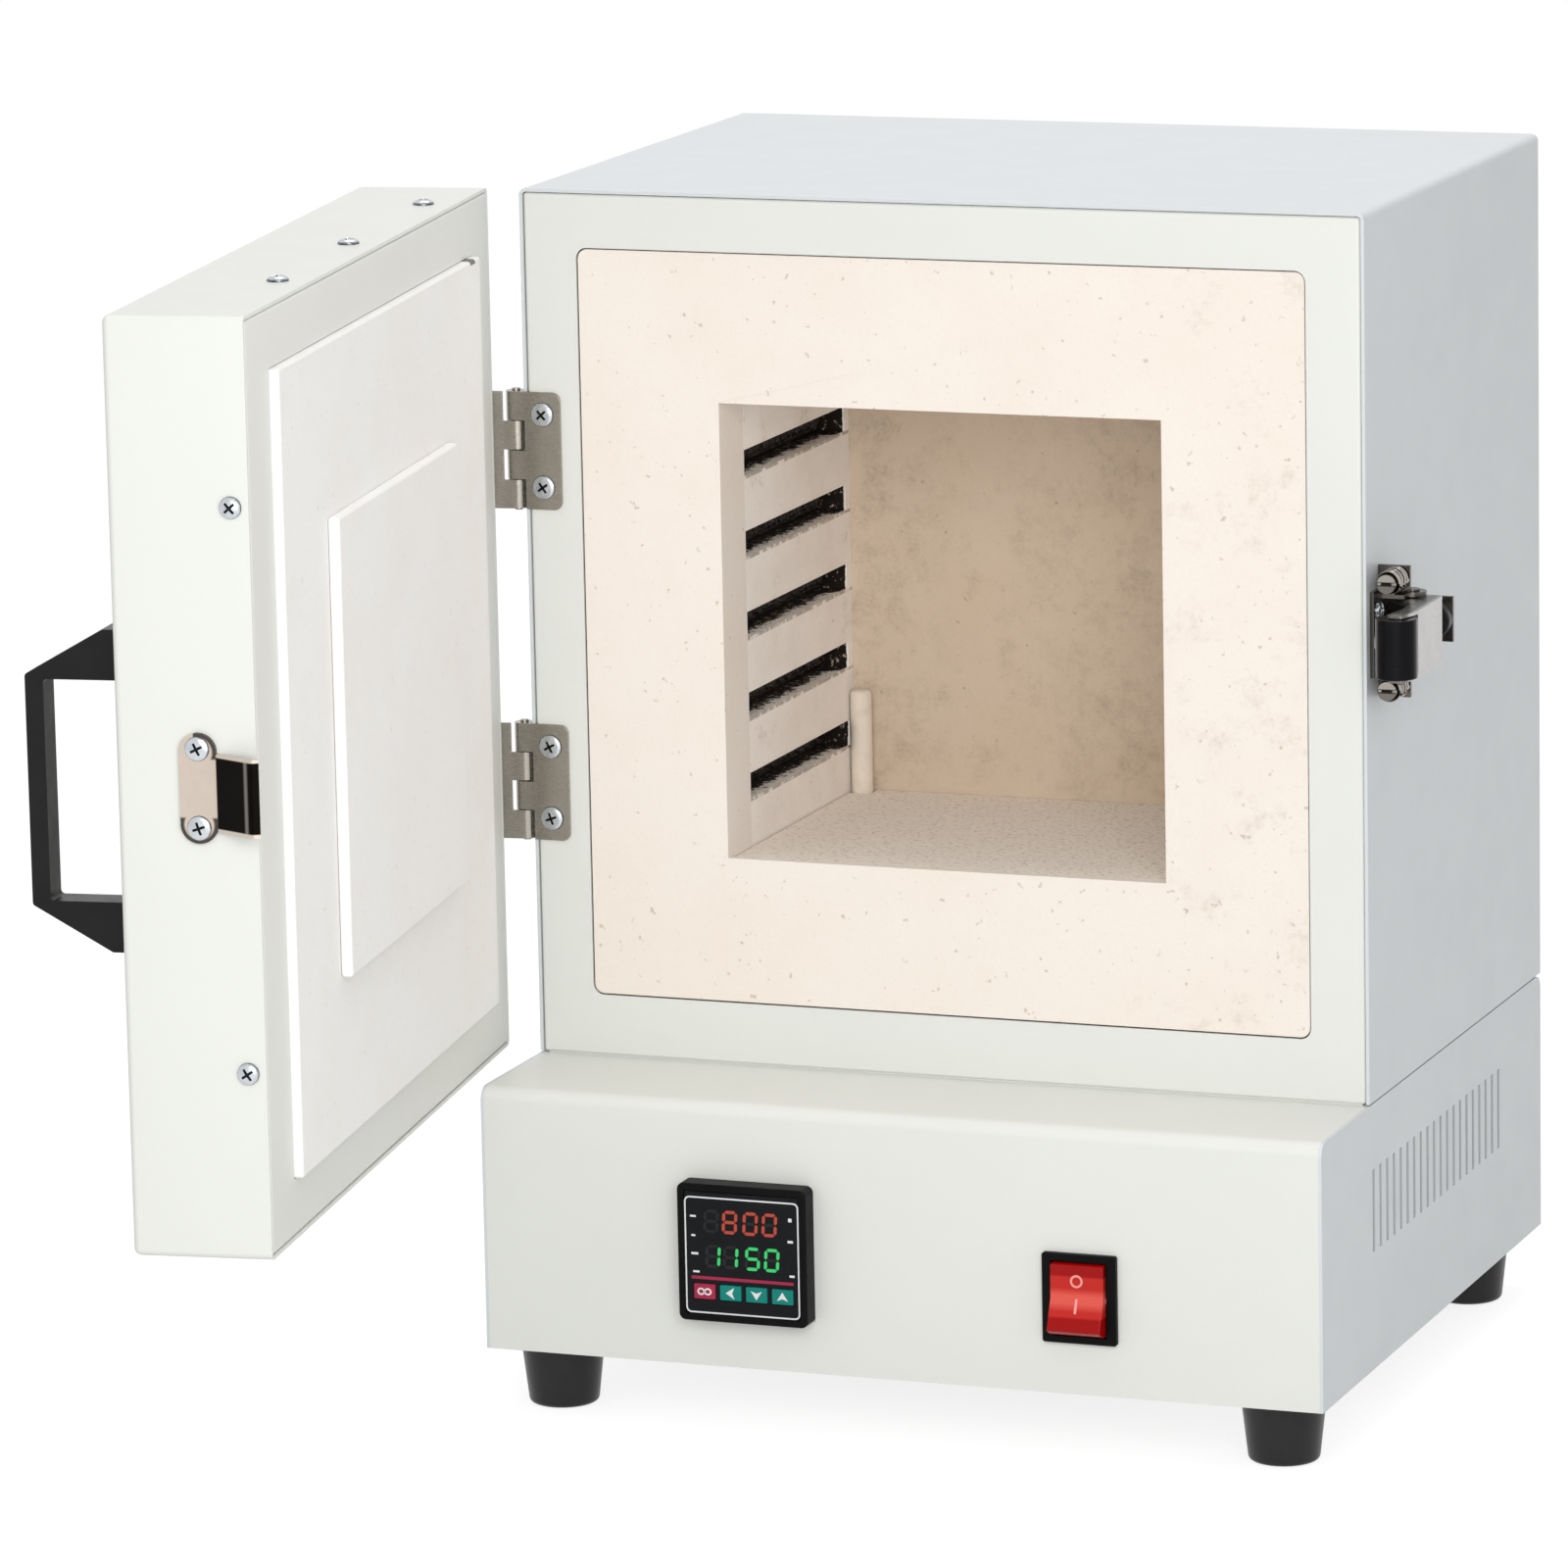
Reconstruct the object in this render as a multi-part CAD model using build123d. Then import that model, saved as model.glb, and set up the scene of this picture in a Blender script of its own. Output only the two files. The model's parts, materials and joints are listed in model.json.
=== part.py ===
from build123d import *
import math
import os

# Bench-top muffle furnace: a folded casing round a ceramic chamber, on a wider base
# that holds the controls, with a side-hung insulated door and a sprung roller catch.
# Millimetres. The origin is the centre of the base's footprint on the bench, +Y runs
# to the back, +X to the catch side, +Z up. The door is written out standing open.

# Overall sizes
cabinet_width = 310.0
casing_height = 312.0
casing_depth = 218.0
base_height = 95.0
base_overhang = 57.0  # how far the base stands out in front of the casing
foot_height = 23.0

# Sheet metal
sheet = 1.2
casing_bend = 2.5  # outside radius of the casing's folds
base_bend = 5.0  # outside radius of the base's folds
flange_depth = 14.0
seam = 0.3  # gap between two sheets that meet in one surface
shadow_gap = 0.6  # the casing's skirts stop this far above the base
fit_gap = 0.3  # clearance round a loose inner piece

# Ceramic front and chamber
frame_side = 21.0  # steel left at each side of the ceramic front
frame_bottom = 22.5
frame_top = 20.5
window_corner = 4.0
opening_width = 163.0
opening_height = 163.0
opening_centre = 156.5  # above the base's deck
chamber_depth = 132.0  # from the casing's face to the back wall
collar_gap = 0.5
collar_recess = 0.5
collar_depth = 24.0
muffle_wall = 30.0
hearth_thickness = 8.0
hearth_lip = 3.0  # ceramic left standing in front of the hearth plate
hearth_drop = 0.4

# Heater slots and coils
slot_count = 5
slot_pitch = 29.1
slot_height = 9.3
slot_depth = 16.0
slot_end = 5.0  # ceramic left between a slot and the back wall
coil_radius = 3.8
coil_seat = 0.15
coil_end_gap = 2.0
lead_radius = 1.5
lead_length = 46.0
lead_hole_radius = 2.2

# Thermocouple
sheath_radius = 4.0
sheath_rise = 38.0
sheath_hole_gap = 0.3
sheath_wall_gap = 0.5
sheath_head_radius = 9.0
sheath_head_height = 14.0

# Base: vents, feet and underside
vent_count = 20
vent_pitch = 8.26
vent_width = 3.0
vent_height = 29.5
vent_start = 61.5  # first slot's centre behind the base's front
vent_centre = 57.0  # above the base's underside
foot_top_radius = 15.0
foot_bottom_radius = 12.4
foot_round = 2.0
foot_inset_x = 20.7
foot_inset_front = 21.0
foot_inset_back = 26.0
foot_bore_radius = 5.6
foot_bore_depth = 11.0
floor_slot_count = 9
floor_slot_pitch = 12.0
floor_slot_width = 4.0
floor_slot_length = 46.0

# Screws
screw_head_radius = 3.7
screw_head_height = 2.0
screw_head_bevel = 0.9
screw_shank_radius = 1.9
screw_hole_radius = 2.1
screw_length = 6.0
foot_screw_length = 18.0

# Controller
bezel_width = 48.0
bezel_height = 49.5
bezel_depth = 8.5
bezel_corner = 2.5
bezel_inset = 100.8  # its centre from the base's left side
bezel_z = 43.0  # centre above the base's underside
case_width = 44.5
case_height = 44.5
case_depth = 72.0
panel_gap = 0.3
face_border = 2.6
face_sink = 0.5
face_thickness = 1.2
key_count = 4
key_width = 8.0
key_height = 5.5
key_pitch = 9.7
key_first_x = 9.8  # first key's centre from the bezel's left edge
key_z = 10.8  # keys' centre from the bezel's lower edge
key_proud = 0.4
key_thickness = 1.8
key_gap = 0.25
key_travel = 0.5

# Rocker switch
switch_inset = 87.2  # its centre from the base's right side
switch_z = 34.6  # centre above the base's underside
switch_width = 27.0
switch_height = 31.9
switch_proud = 2.6
switch_corner = 1.0
switch_case_width = 24.6
switch_case_height = 28.6
switch_case_depth = 24.0
rocker_width = 19.3
rocker_radius = 12.9
rocker_axis_depth = 1.5  # pivot behind the frame's front
rocker_tip_angle = 27.5
rocker_dip = 2.2  # height of the valley between its two pads
rocker_floor = 7.0
rocker_gap = 0.4
rocker_throw = 12.0  # each way from level
rocker_stub_radius = 1.3
rocker_stub_length = 1.1
running_gap = 0.05

# Inner electrics
relay_width = 45.0
relay_length = 58.0
relay_height = 23.0
sink_width = 60.0
sink_length = 80.0
sink_plate = 5.0
sink_height = 26.0
sink_fin = 2.0
sink_fin_count = 9
relay_inset = 115.0  # its centre from the base's right side
relay_back = 87.5  # its centre from the base's back
terminal_inset = 95.0  # its centre from the base's left side
terminal_back = 52.5  # its centre from the base's back
terminal_count = 5
terminal_pitch = 14.0
terminal_depth = 24.0
terminal_height = 18.0

# Cord gland at the back
gland_inset = 55.0  # its centre from the base's left side
gland_z = 34.0  # centre above the base's underside
gland_thread_radius = 8.0
gland_hex_across = 22.0
gland_hex_thickness = 5.0
gland_dome_radius = 9.5
gland_dome_length = 12.0
gland_bore_radius = 4.0
gland_bore_depth = 22.0
gland_inner_length = 8.0

# Door
door_overhang = 4.0  # the door is this much wider than the casing
door_rise = 0.3  # upper edge above the casing's top
door_thickness = 47.2
door_lift = 2.6  # lower edge above the base's deck
door_gap = 5.4  # closed rim to the casing's face
door_bend = 2.5
door_open_angle = 81.95
step_hinge_margin = 24.3  # rim left bare beside the insulation board
step_free_margin = 29.0
step_low_margin = 20.6
step_high_margin = 21.1
step_proud = 3.2
step_depth = 19.2
plug_clearance = 4.0
plug_proud = 4.2
top_screw_places = (46.0, 145.0, 233.0)  # from the hinge edge
top_screw_depth = 11.0  # from the rim
side_screw_places = (65.0, 250.8)  # above the base's deck
side_screw_depth = 6.0

# Hinges
hinge_centres = (99.2, 218.7)  # above the base's deck
hinge_height = 42.0
hinge_leaf = 1.2
knuckle_radius = 3.6
knuckle_count = 4
knuckle_gap = 0.3
hinge_pin_radius = 1.5
hinge_pin_proud = 0.8
leaf_width = 17.9  # from the pin's axis
door_leaf_width = 23.0
leaf_corner = 3.0
leaf_cutback = 4.3
hinge_screw_reach = 11.1
door_screw_reach = 16.0
hinge_screw_spread = 26.0
hinge_screw_radius = 3.3
hinge_side_gap = 0.3

# Door handle
handle_inset = 22.0  # from the door's free edge
handle_centre = 153.8  # above the base's deck
handle_length = 107.0
handle_standoff = 34.8
handle_bar = 6.2
handle_width = 12.0
handle_gap = 73.5
handle_bar_length = 76.5
handle_foot = 8.0  # straight part of each leg before it slopes
handle_round = 1.4
handle_screw_length = 12.0

# Door strike and roller catch
strike_height = 159.2  # plate's centre above the base's deck
strike_width = 12.5
strike_length = 36.3
strike_depth = 19.35  # its centre from the rim
strike_sheet = 1.5
strike_screw_spread = 26.0
strike_screw_radius = 3.1
strike_tab_height = 25.6
strike_tab_drop = 1.4  # the tab's middle below the plate's
strike_slope = 31.0
strike_run_on = 8.8  # slope past the roller's touch point
strike_curl = 2.0
strike_clearance = 0.35
catch_height = 165.5  # above the base's deck
roller_reach = 15.6  # roller's axis out from the casing's side
roller_front = 16.3  # roller's axis in front of the casing's face
roller_radius = 7.2
roller_height = 20.6
roller_pin_radius = 1.6
arm_sheet = 1.2
arm_gap = 0.25
arm_nose = 3.3  # cheeks in front of the roller's axis
arm_neck = 0.8  # cheeks' inner edge inside the roller's axis
arm_web_reach = 5.4  # web's outer face beyond the roller's axis
arm_web_start = 7.8  # behind the roller's axis
arm_tail = 3.5  # behind the pivot
arm_heel = 6.5  # in front of the pivot
arm_throat = 16.0  # neck's rear end in front of the pivot
arm_round = 1.6
pivot_reach = 11.0
pivot_back = 18.5  # behind the casing's face
pivot_radius = 2.0
pivot_boss = 5.0
pivot_head_radius = 2.6
pivot_head_height = 0.8
bracket_sheet = 1.5
bracket_front = 4.0
bracket_back = 42.0
bracket_gap = 0.4
bracket_flange_half = 8.0
bracket_lip = 1.4  # plate beyond its ears
ear_front = 9.5  # in front of the pivot
catch_screw_back = 8.5
catch_screw_spread = 16.0
buffer_radius = 6.5
buffer_length = 4.5
buffer_reach = 12.5
lug_front = 14.0  # behind the casing's face
lug_reach = 11.5
adjuster_reach = 7.0
adjuster_offset = 5.0  # its axis beyond the ears
adjuster_head_radius = 3.3
adjuster_head_height = 2.0
adjuster_radius = 1.9
adjuster_tail = 2.5
spring_radius = 4.4
spring_wire = 1.1
spring_turns = 6
spring_gap = 0.2

# Places that follow from the sizes above
half_width = cabinet_width / 2
bezel_x = -half_width + bezel_inset
switch_x = half_width - switch_inset
relay_x = half_width - relay_inset
terminal_x = -half_width + terminal_inset
gland_x = -half_width + gland_inset
base_depth = casing_depth + base_overhang
front_y = -base_depth / 2
back_y = base_depth / 2
face_y = front_y + base_overhang
base_z = foot_height
deck_z = base_z + base_height
top_z = deck_z + casing_height
panel_half = half_width - sheet - seam
inner_half = panel_half - sheet - fit_gap
panel_top = top_z - sheet - seam
inner_top = panel_top - sheet - fit_gap
window_width = cabinet_width - 2 * frame_side
window_height = casing_height - frame_bottom - frame_top
window_centre = frame_bottom + window_height / 2
half_opening = opening_width / 2
opening_low = deck_z + opening_centre - opening_height / 2
opening_high = opening_low + opening_height
muffle_half = half_opening + muffle_wall
muffle_low = opening_low - hearth_thickness - hearth_drop - muffle_wall
muffle_high = opening_high + muffle_wall
muffle_front = face_y + collar_recess + collar_depth
chamber_back = face_y + chamber_depth
slot_back = chamber_back - slot_end
muffle_back = chamber_back + muffle_wall
hearth_top = opening_low - hearth_drop
hearth_low = hearth_top - hearth_thickness
sheath_x = -half_opening + sheath_radius + sheath_wall_gap
sheath_y = chamber_back - sheath_radius - sheath_wall_gap
pin_x = -half_width - hinge_side_gap - knuckle_radius
pin_y = face_y - hinge_leaf + knuckle_radius
door_left = -half_width - hinge_side_gap
door_width = cabinet_width + door_overhang
door_height = casing_height + door_rise - door_lift
door_right = door_left + door_width
rim_y = face_y - door_gap
door_front_y = rim_y - door_thickness
door_low = deck_z + door_lift
door_high = door_low + door_height
step_x = (door_left + step_hinge_margin, door_right - step_free_margin)
step_z = (door_low + step_low_margin, door_high - step_high_margin)
strike_z = deck_z + strike_height
catch_z = deck_z + catch_height
relay_y = back_y - relay_back
terminal_y = back_y - terminal_back

parts = {}


def block(x, y, z):
    """Box that fills three ranges."""
    size = (x[1] - x[0], y[1] - y[0], z[1] - z[0])
    middle = ((x[0] + x[1]) / 2, (y[0] + y[1]) / 2, (z[0] + z[1]) / 2)
    return Pos(*middle) * Box(*size)


def about(centre, width):
    """Range of a width about its centre."""
    return (centre - width / 2, centre + width / 2)


def rod(start, direction, radius, length):
    """Round bar from a point along a direction."""
    place = Plane(origin=start, z_dir=direction).location
    return place * Cylinder(radius, length, align=(Align.CENTER, Align.CENTER, Align.MIN))


def side_face(x):
    """Drawing plane across the cabinet: local x is world Y, local y is world Z."""
    return Plane((x, 0, 0), x_dir=(0, 1, 0), z_dir=(1, 0, 0))


def front_face(y):
    """Drawing plane facing the user: local x is world X, local y is world Z."""
    return Plane((0, y, 0), x_dir=(1, 0, 0), z_dir=(0, -1, 0))


def drawn_box(x, y, corner=0.0, corners="all"):
    """Rectangle over two ranges with rounded corners, or with its two top ones rounded."""
    shape = Pos((x[0] + x[1]) / 2, (y[0] + y[1]) / 2) * Rectangle(x[1] - x[0], y[1] - y[0])
    if corner > 0:
        points = shape.vertices() if corners == "all" else shape.vertices().group_by(Axis.Y)[-1]
        shape = fillet(points, corner)
    return shape


def pan(x, y, z, back_open, radius, floor_wall=True):
    """Folded tray of sheet: its closed side is at the low end of y when back_open, else the high end."""
    outer = block(x, y, z)
    closed = outer.faces().sort_by(Axis.Y)[0 if back_open else -1]
    outer = fillet(closed.edges() + outer.edges().filter_by(Axis.Y), radius)
    low_z = z[0] + sheet if floor_wall else z[0] - sheet
    inner_y = (y[0] + sheet, y[1] + sheet) if back_open else (y[0] - sheet, y[1] - sheet)
    return outer - block((x[0] + sheet, x[1] - sheet), inner_y, (low_z, z[1] - sheet))


def pan_screw(place, outward, head_radius=screw_head_radius, length=screw_length):
    """Pan-head screw: its head stands outward from the seat, its shank goes in."""
    head = Cylinder(head_radius, screw_head_height, align=(Align.CENTER, Align.CENTER, Align.MIN))
    head = chamfer(head.edges().group_by(Axis.Z)[-1], screw_head_bevel)
    shank = Pos(0, 0, -length) * Cylinder(
        screw_shank_radius, length, align=(Align.CENTER, Align.CENTER, Align.MIN)
    )
    return Plane(origin=place, z_dir=outward).location * (head + shank)


def screw_hole(place, outward, length=screw_length):
    """Clearance hole for a screw, centred on its seat."""
    start = Vector(*place) - Vector(*outward) * (length + fit_gap)
    return rod(start, outward, screw_hole_radius, 2 * length)


def opened(shape):
    """Turn a piece of the closed door about the hinge pins to where the door stands."""
    swing = Pos(pin_x, pin_y, 0) * Rot(0, 0, -door_open_angle) * Pos(-pin_x, -pin_y, 0)
    return swing * shape


# ---------------------------------------------------------------- base

controller_x = about(bezel_x, case_width)
controller_z = about(base_z + bezel_z, case_height)
switch_case_x = about(switch_x, switch_case_width)
switch_case_z = about(base_z + switch_z, switch_case_height)
flange_z = (base_z + sheet, base_z + 2 * sheet)
flange_x = half_width - sheet - flange_depth
foot_places = {
    "foot_front_left": (-half_width + foot_inset_x, front_y + foot_inset_front),
    "foot_front_right": (half_width - foot_inset_x, front_y + foot_inset_front),
    "foot_rear_left": (-half_width + foot_inset_x, back_y - foot_inset_back),
    "foot_rear_right": (half_width - foot_inset_x, back_y - foot_inset_back),
}
underside_screws = [
    (x, y, base_z)
    for x in (-half_width + 2 * foot_inset_x, half_width - 2 * foot_inset_x)
    for y in (front_y + sheet + flange_depth / 2, back_y - sheet - flange_depth / 2)
]


def make_base():
    """Front, deck and back folded from one sheet, two welded side plates and a floor plate."""
    outer = drawn_box((front_y, back_y), (base_z, deck_z), base_bend, "top")
    inner = drawn_box(
        (front_y + sheet, back_y - sheet), (flange_z[1], deck_z - sheet), base_bend - sheet, "top"
    )
    mouth = drawn_box(
        (front_y + sheet + flange_depth, back_y - sheet - flange_depth), (base_z, flange_z[1])
    )
    recess = drawn_box((front_y + sheet, back_y - sheet), (base_z, flange_z[0]))
    wrap_half = half_width - sheet
    wrap = extrude(side_face(-wrap_half) * (outer - inner - mouth - recess), 2 * wrap_half)
    front_span = (front_y - sheet, front_y + 2 * sheet)
    hole_gap = panel_gap
    wrap -= block(
        (controller_x[0] - hole_gap, controller_x[1] + hole_gap),
        front_span,
        (controller_z[0] - hole_gap, controller_z[1] + hole_gap),
    )
    wrap -= block(
        (switch_case_x[0] - hole_gap, switch_case_x[1] + hole_gap),
        front_span,
        (switch_case_z[0] - hole_gap, switch_case_z[1] + hole_gap),
    )
    wrap -= rod(
        (gland_x, back_y - 2 * sheet, base_z + gland_z), (0, 1, 0), gland_thread_radius + panel_gap, 4 * sheet
    )
    wrap -= rod(
        (sheath_x, sheath_y, deck_z - 2 * sheet), (0, 0, 1), sheath_radius + sheath_hole_gap, 4 * sheet
    )
    for place in underside_screws:
        wrap -= screw_hole(place, (0, 0, -1))
    parts["base_wrap"] = wrap

    vents_y = front_y + vent_start + (vent_count - 1) * vent_pitch / 2
    vents = Pos(vents_y, base_z + vent_centre) * GridLocations(vent_pitch, 1, vent_count, 1)
    plate = outer - vents * Rectangle(vent_width, vent_height)
    flange_y = (front_y + sheet + flange_depth + fit_gap, back_y - sheet - flange_depth - fit_gap)
    right = extrude(side_face(half_width - sheet) * plate, sheet)
    right += block((flange_x, half_width - sheet), flange_y, flange_z)
    left = extrude(side_face(-half_width) * plate, sheet)
    left += block((-half_width + sheet, -flange_x), flange_y, flange_z)

    floor_x = half_width - sheet - fit_gap
    floor = block(
        (-floor_x, floor_x), (front_y + sheet + fit_gap, back_y - sheet - fit_gap), (base_z, base_z + sheet)
    )
    slots = GridLocations(floor_slot_pitch, floor_slot_length * 2, floor_slot_count, 2)
    slot_faces = Pos(0, 0, base_z) * slots * Rectangle(floor_slot_width, floor_slot_length)
    floor -= extrude(Sketch() + slot_faces, sheet)
    for place in underside_screws:
        floor -= screw_hole(place, (0, 0, -1))
    for x, y in foot_places.values():
        hole = screw_hole((x, y, base_z), (0, 0, -1))
        floor -= hole
        right -= hole
        left -= hole
    parts["base_left_side"] = left
    parts["base_right_side"] = right
    parts["base_floor"] = floor


def make_feet():
    """Tapered rubber feet, each drawn up by a screw sunk in its underside."""
    profile = Polyline(
        (0, 0), (foot_bottom_radius, 0), (foot_top_radius, foot_height), (0, foot_height), close=True
    )
    outline = make_face(profile)
    rim = outline.vertices().sort_by(Axis.Y)[:2].sort_by(Axis.X)[-1]
    outline = fillet(rim, foot_round)
    foot = revolve(Plane.XZ * outline, Axis.Z)
    foot -= rod((0, 0, 0), (0, 0, 1), foot_bore_radius, foot_bore_depth)
    foot -= rod((0, 0, 0), (0, 0, 1), screw_hole_radius, foot_height)
    screws = []
    for name, (x, y) in foot_places.items():
        parts[name] = Pos(x, y, 0) * foot
        screws.append(pan_screw((x, y, foot_bore_depth), (0, 0, -1), length=foot_screw_length))
    parts["foot_screws"] = Compound(screws)


# ---------------------------------------------------------------- casing

frame_z = (deck_z + shadow_gap, panel_top)
back_screws = [
    (x * (panel_half - flange_depth / 2), back_y, z)
    for x in (-1, 1)
    for z in (
        frame_z[0] + flange_depth,
        (frame_z[0] + frame_z[1]) / 2,
        frame_z[1] - flange_depth,
    )
]


def make_casing():
    """Top and sides folded from one sheet, a front frame, a back panel and a floor tray."""
    outer = drawn_box((-half_width, half_width), (frame_z[0], top_z), casing_bend, "top")
    inner = drawn_box(
        (-half_width + sheet, half_width - sheet), (frame_z[0], top_z - sheet), casing_bend - sheet, "top"
    )
    parts["casing_wrap"] = extrude(front_face(face_y) * (outer - inner), -casing_depth)

    span_x = (-panel_half, panel_half)
    frame = pan(span_x, (face_y, face_y + flange_depth), frame_z, True, sheet, floor_wall=False)
    window = drawn_box(
        about(0, window_width), about(deck_z + window_centre, window_height), window_corner
    )
    frame -= extrude(front_face(face_y - sheet) * window, -3 * sheet)
    for z in hinge_centres:
        for dz in (-hinge_screw_spread / 2, hinge_screw_spread / 2):
            frame -= screw_hole((pin_x + hinge_screw_reach, face_y, deck_z + z + dz), (0, -1, 0))
    parts["casing_front_frame"] = frame

    back = pan(span_x, (back_y - flange_depth, back_y), frame_z, False, sheet, floor_wall=False)
    for place in back_screws:
        back -= screw_hole(place, (0, 1, 0))
    parts["casing_back_panel"] = back

    tray = block(
        (-panel_half, panel_half), (face_y + sheet, back_y - sheet), (deck_z, deck_z + sheet)
    )
    wall_y = (face_y + flange_depth + fit_gap, back_y - flange_depth - fit_gap)
    for x in ((-panel_half, -panel_half + sheet), (panel_half - sheet, panel_half)):
        tray += block(x, wall_y, (deck_z, deck_z + flange_depth))
    notch_z = (frame_z[0] - sheet, deck_z + 2 * sheet)
    for x in ((-half_width, -panel_half + sheet + fit_gap), (panel_half - sheet - fit_gap, half_width)):
        tray -= block(x, (face_y, wall_y[0]), notch_z)
        tray -= block(x, (wall_y[1], back_y), notch_z)
    tray -= rod((sheath_x, sheath_y, deck_z), (0, 0, 1), sheath_radius + sheath_hole_gap, sheet)
    parts["casing_floor"] = tray


# ---------------------------------------------------------------- chamber

slot_low = deck_z + opening_centre - (slot_count - 1) * slot_pitch / 2 - slot_height / 2 - 1.9
slot_places = [slot_low + n * slot_pitch for n in range(slot_count)]
coil_x = half_opening + slot_depth - coil_radius - coil_seat


def chamber_side(side):
    """Slotted heater wall of one side: side is -1 for left, 1 for right."""
    x = sorted((side * half_opening, side * muffle_half))
    wall = block(x, (muffle_front, chamber_back), (hearth_low, opening_high))
    slot_x = sorted((side * (half_opening - slot_depth), side * (half_opening + slot_depth)))
    for z in slot_places:
        wall -= block(slot_x, (muffle_front, slot_back), (z, z + slot_height))
    for z in (slot_places[0], slot_places[-1]):
        start = (side * coil_x, slot_back, z + coil_radius + coil_seat)
        wall -= rod(start, (0, 1, 0), lead_hole_radius, slot_end)
    return wall


def coil_set(side):
    """One straight coil in each slot; the top and bottom ones lead out through the back."""
    coils = []
    length = slot_back - muffle_front - 2 * coil_end_gap
    for n, z in enumerate(slot_places):
        start = (side * coil_x, muffle_front + coil_end_gap, z + coil_radius + coil_seat)
        coil = rod(start, (0, 1, 0), coil_radius, length)
        if n in (0, slot_count - 1):
            tail = (start[0], start[1] + length - coil_radius, start[2])
            coil += rod(tail, (0, 1, 0), lead_radius, lead_length)
        coils.append(coil)
    return Compound(coils)


def make_chamber():
    """Ceramic collar, five muffle plates, hearth, coils, thermocouple and blankets."""
    collar_x = window_width / 2 - collar_gap
    collar_z = about(deck_z + window_centre, window_height - 2 * collar_gap)
    outline = drawn_box((-collar_x, collar_x), collar_z, window_corner - collar_gap)
    hole = drawn_box((-half_opening, half_opening), (opening_low, opening_high))
    collar = extrude(front_face(face_y + collar_recess) * (outline - hole), -collar_depth)
    collar -= block(
        (-half_opening + fit_gap, half_opening - fit_gap),
        (face_y + collar_recess + hearth_lip, muffle_front),
        (hearth_low, opening_low),
    )
    parts["ceramic_collar"] = collar
    parts["chamber_left_wall"] = chamber_side(-1)
    parts["chamber_right_wall"] = chamber_side(1)

    plate_x = (-muffle_half, muffle_half)
    sheath_hole = rod(
        (sheath_x, sheath_y, deck_z), (0, 0, 1), sheath_radius + sheath_hole_gap, opening_low - deck_z
    )
    parts["chamber_roof"] = block(plate_x, (muffle_front, chamber_back), (opening_high, muffle_high))
    floor = block(plate_x, (muffle_front, chamber_back), (muffle_low, hearth_low))
    parts["chamber_floor"] = floor - sheath_hole
    back = block(plate_x, (chamber_back, muffle_back), (muffle_low, muffle_high))
    blanket = block(
        (-inner_half, inner_half), (muffle_back, back_y - sheet), (muffle_low, inner_top)
    )
    for place in back_screws:
        blanket -= screw_hole(place, (0, 1, 0))
    for side in (-1, 1):
        for z in (slot_places[0], slot_places[-1]):
            centre = (side * coil_x, chamber_back, z + coil_radius + coil_seat)
            hole = rod(centre, (0, 1, 0), lead_hole_radius, muffle_wall + lead_length)
            back -= hole
            blanket -= hole
    parts["chamber_back_wall"] = back
    parts["insulation_back"] = blanket
    hearth = block(
        (-half_opening + 2 * fit_gap, half_opening - 2 * fit_gap),
        (face_y + collar_recess + hearth_lip + fit_gap, chamber_back - fit_gap),
        (hearth_low, hearth_top),
    )
    sheath_room = sheath_radius + sheath_hole_gap
    corner = block(
        (-half_opening, sheath_x + sheath_room), (sheath_y - sheath_room, chamber_back), (hearth_low, hearth_top)
    )
    parts["hearth_plate"] = hearth - corner
    parts["heater_coils_left"] = coil_set(-1)
    parts["heater_coils_right"] = coil_set(1)

    sheath_low = deck_z - sheet
    sheath = rod((sheath_x, sheath_y, sheath_low), (0, 0, 1), sheath_radius, hearth_top + sheath_rise - sheath_low)
    sheath = fillet(sheath.edges().group_by(Axis.Z)[-1], sheath_radius / 2)
    head_low = (sheath_x, sheath_y, sheath_low - sheath_head_height)
    parts["thermocouple"] = sheath + rod(head_low, (0, 0, 1), sheath_head_radius, sheath_head_height)

    jacket = block((-inner_half, inner_half), (muffle_front, muffle_back), (muffle_low, inner_top))
    parts["insulation_jacket"] = jacket - block(plate_x, (muffle_front, muffle_back), (muffle_low, muffle_high))
    bed = block((-inner_half, inner_half), (muffle_front, back_y - sheet), (deck_z + sheet, muffle_low))
    for place in back_screws:
        bed -= screw_hole(place, (0, 1, 0))
    parts["insulation_bed"] = bed - sheath_hole


# ---------------------------------------------------------------- controls

bezel_left = bezel_x - bezel_width / 2
bezel_low = base_z + bezel_z - bezel_height / 2
bezel_front = front_y - bezel_depth
face_front = bezel_front + face_sink
key_names = ("key_set", "key_shift", "key_down", "key_up")


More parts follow.
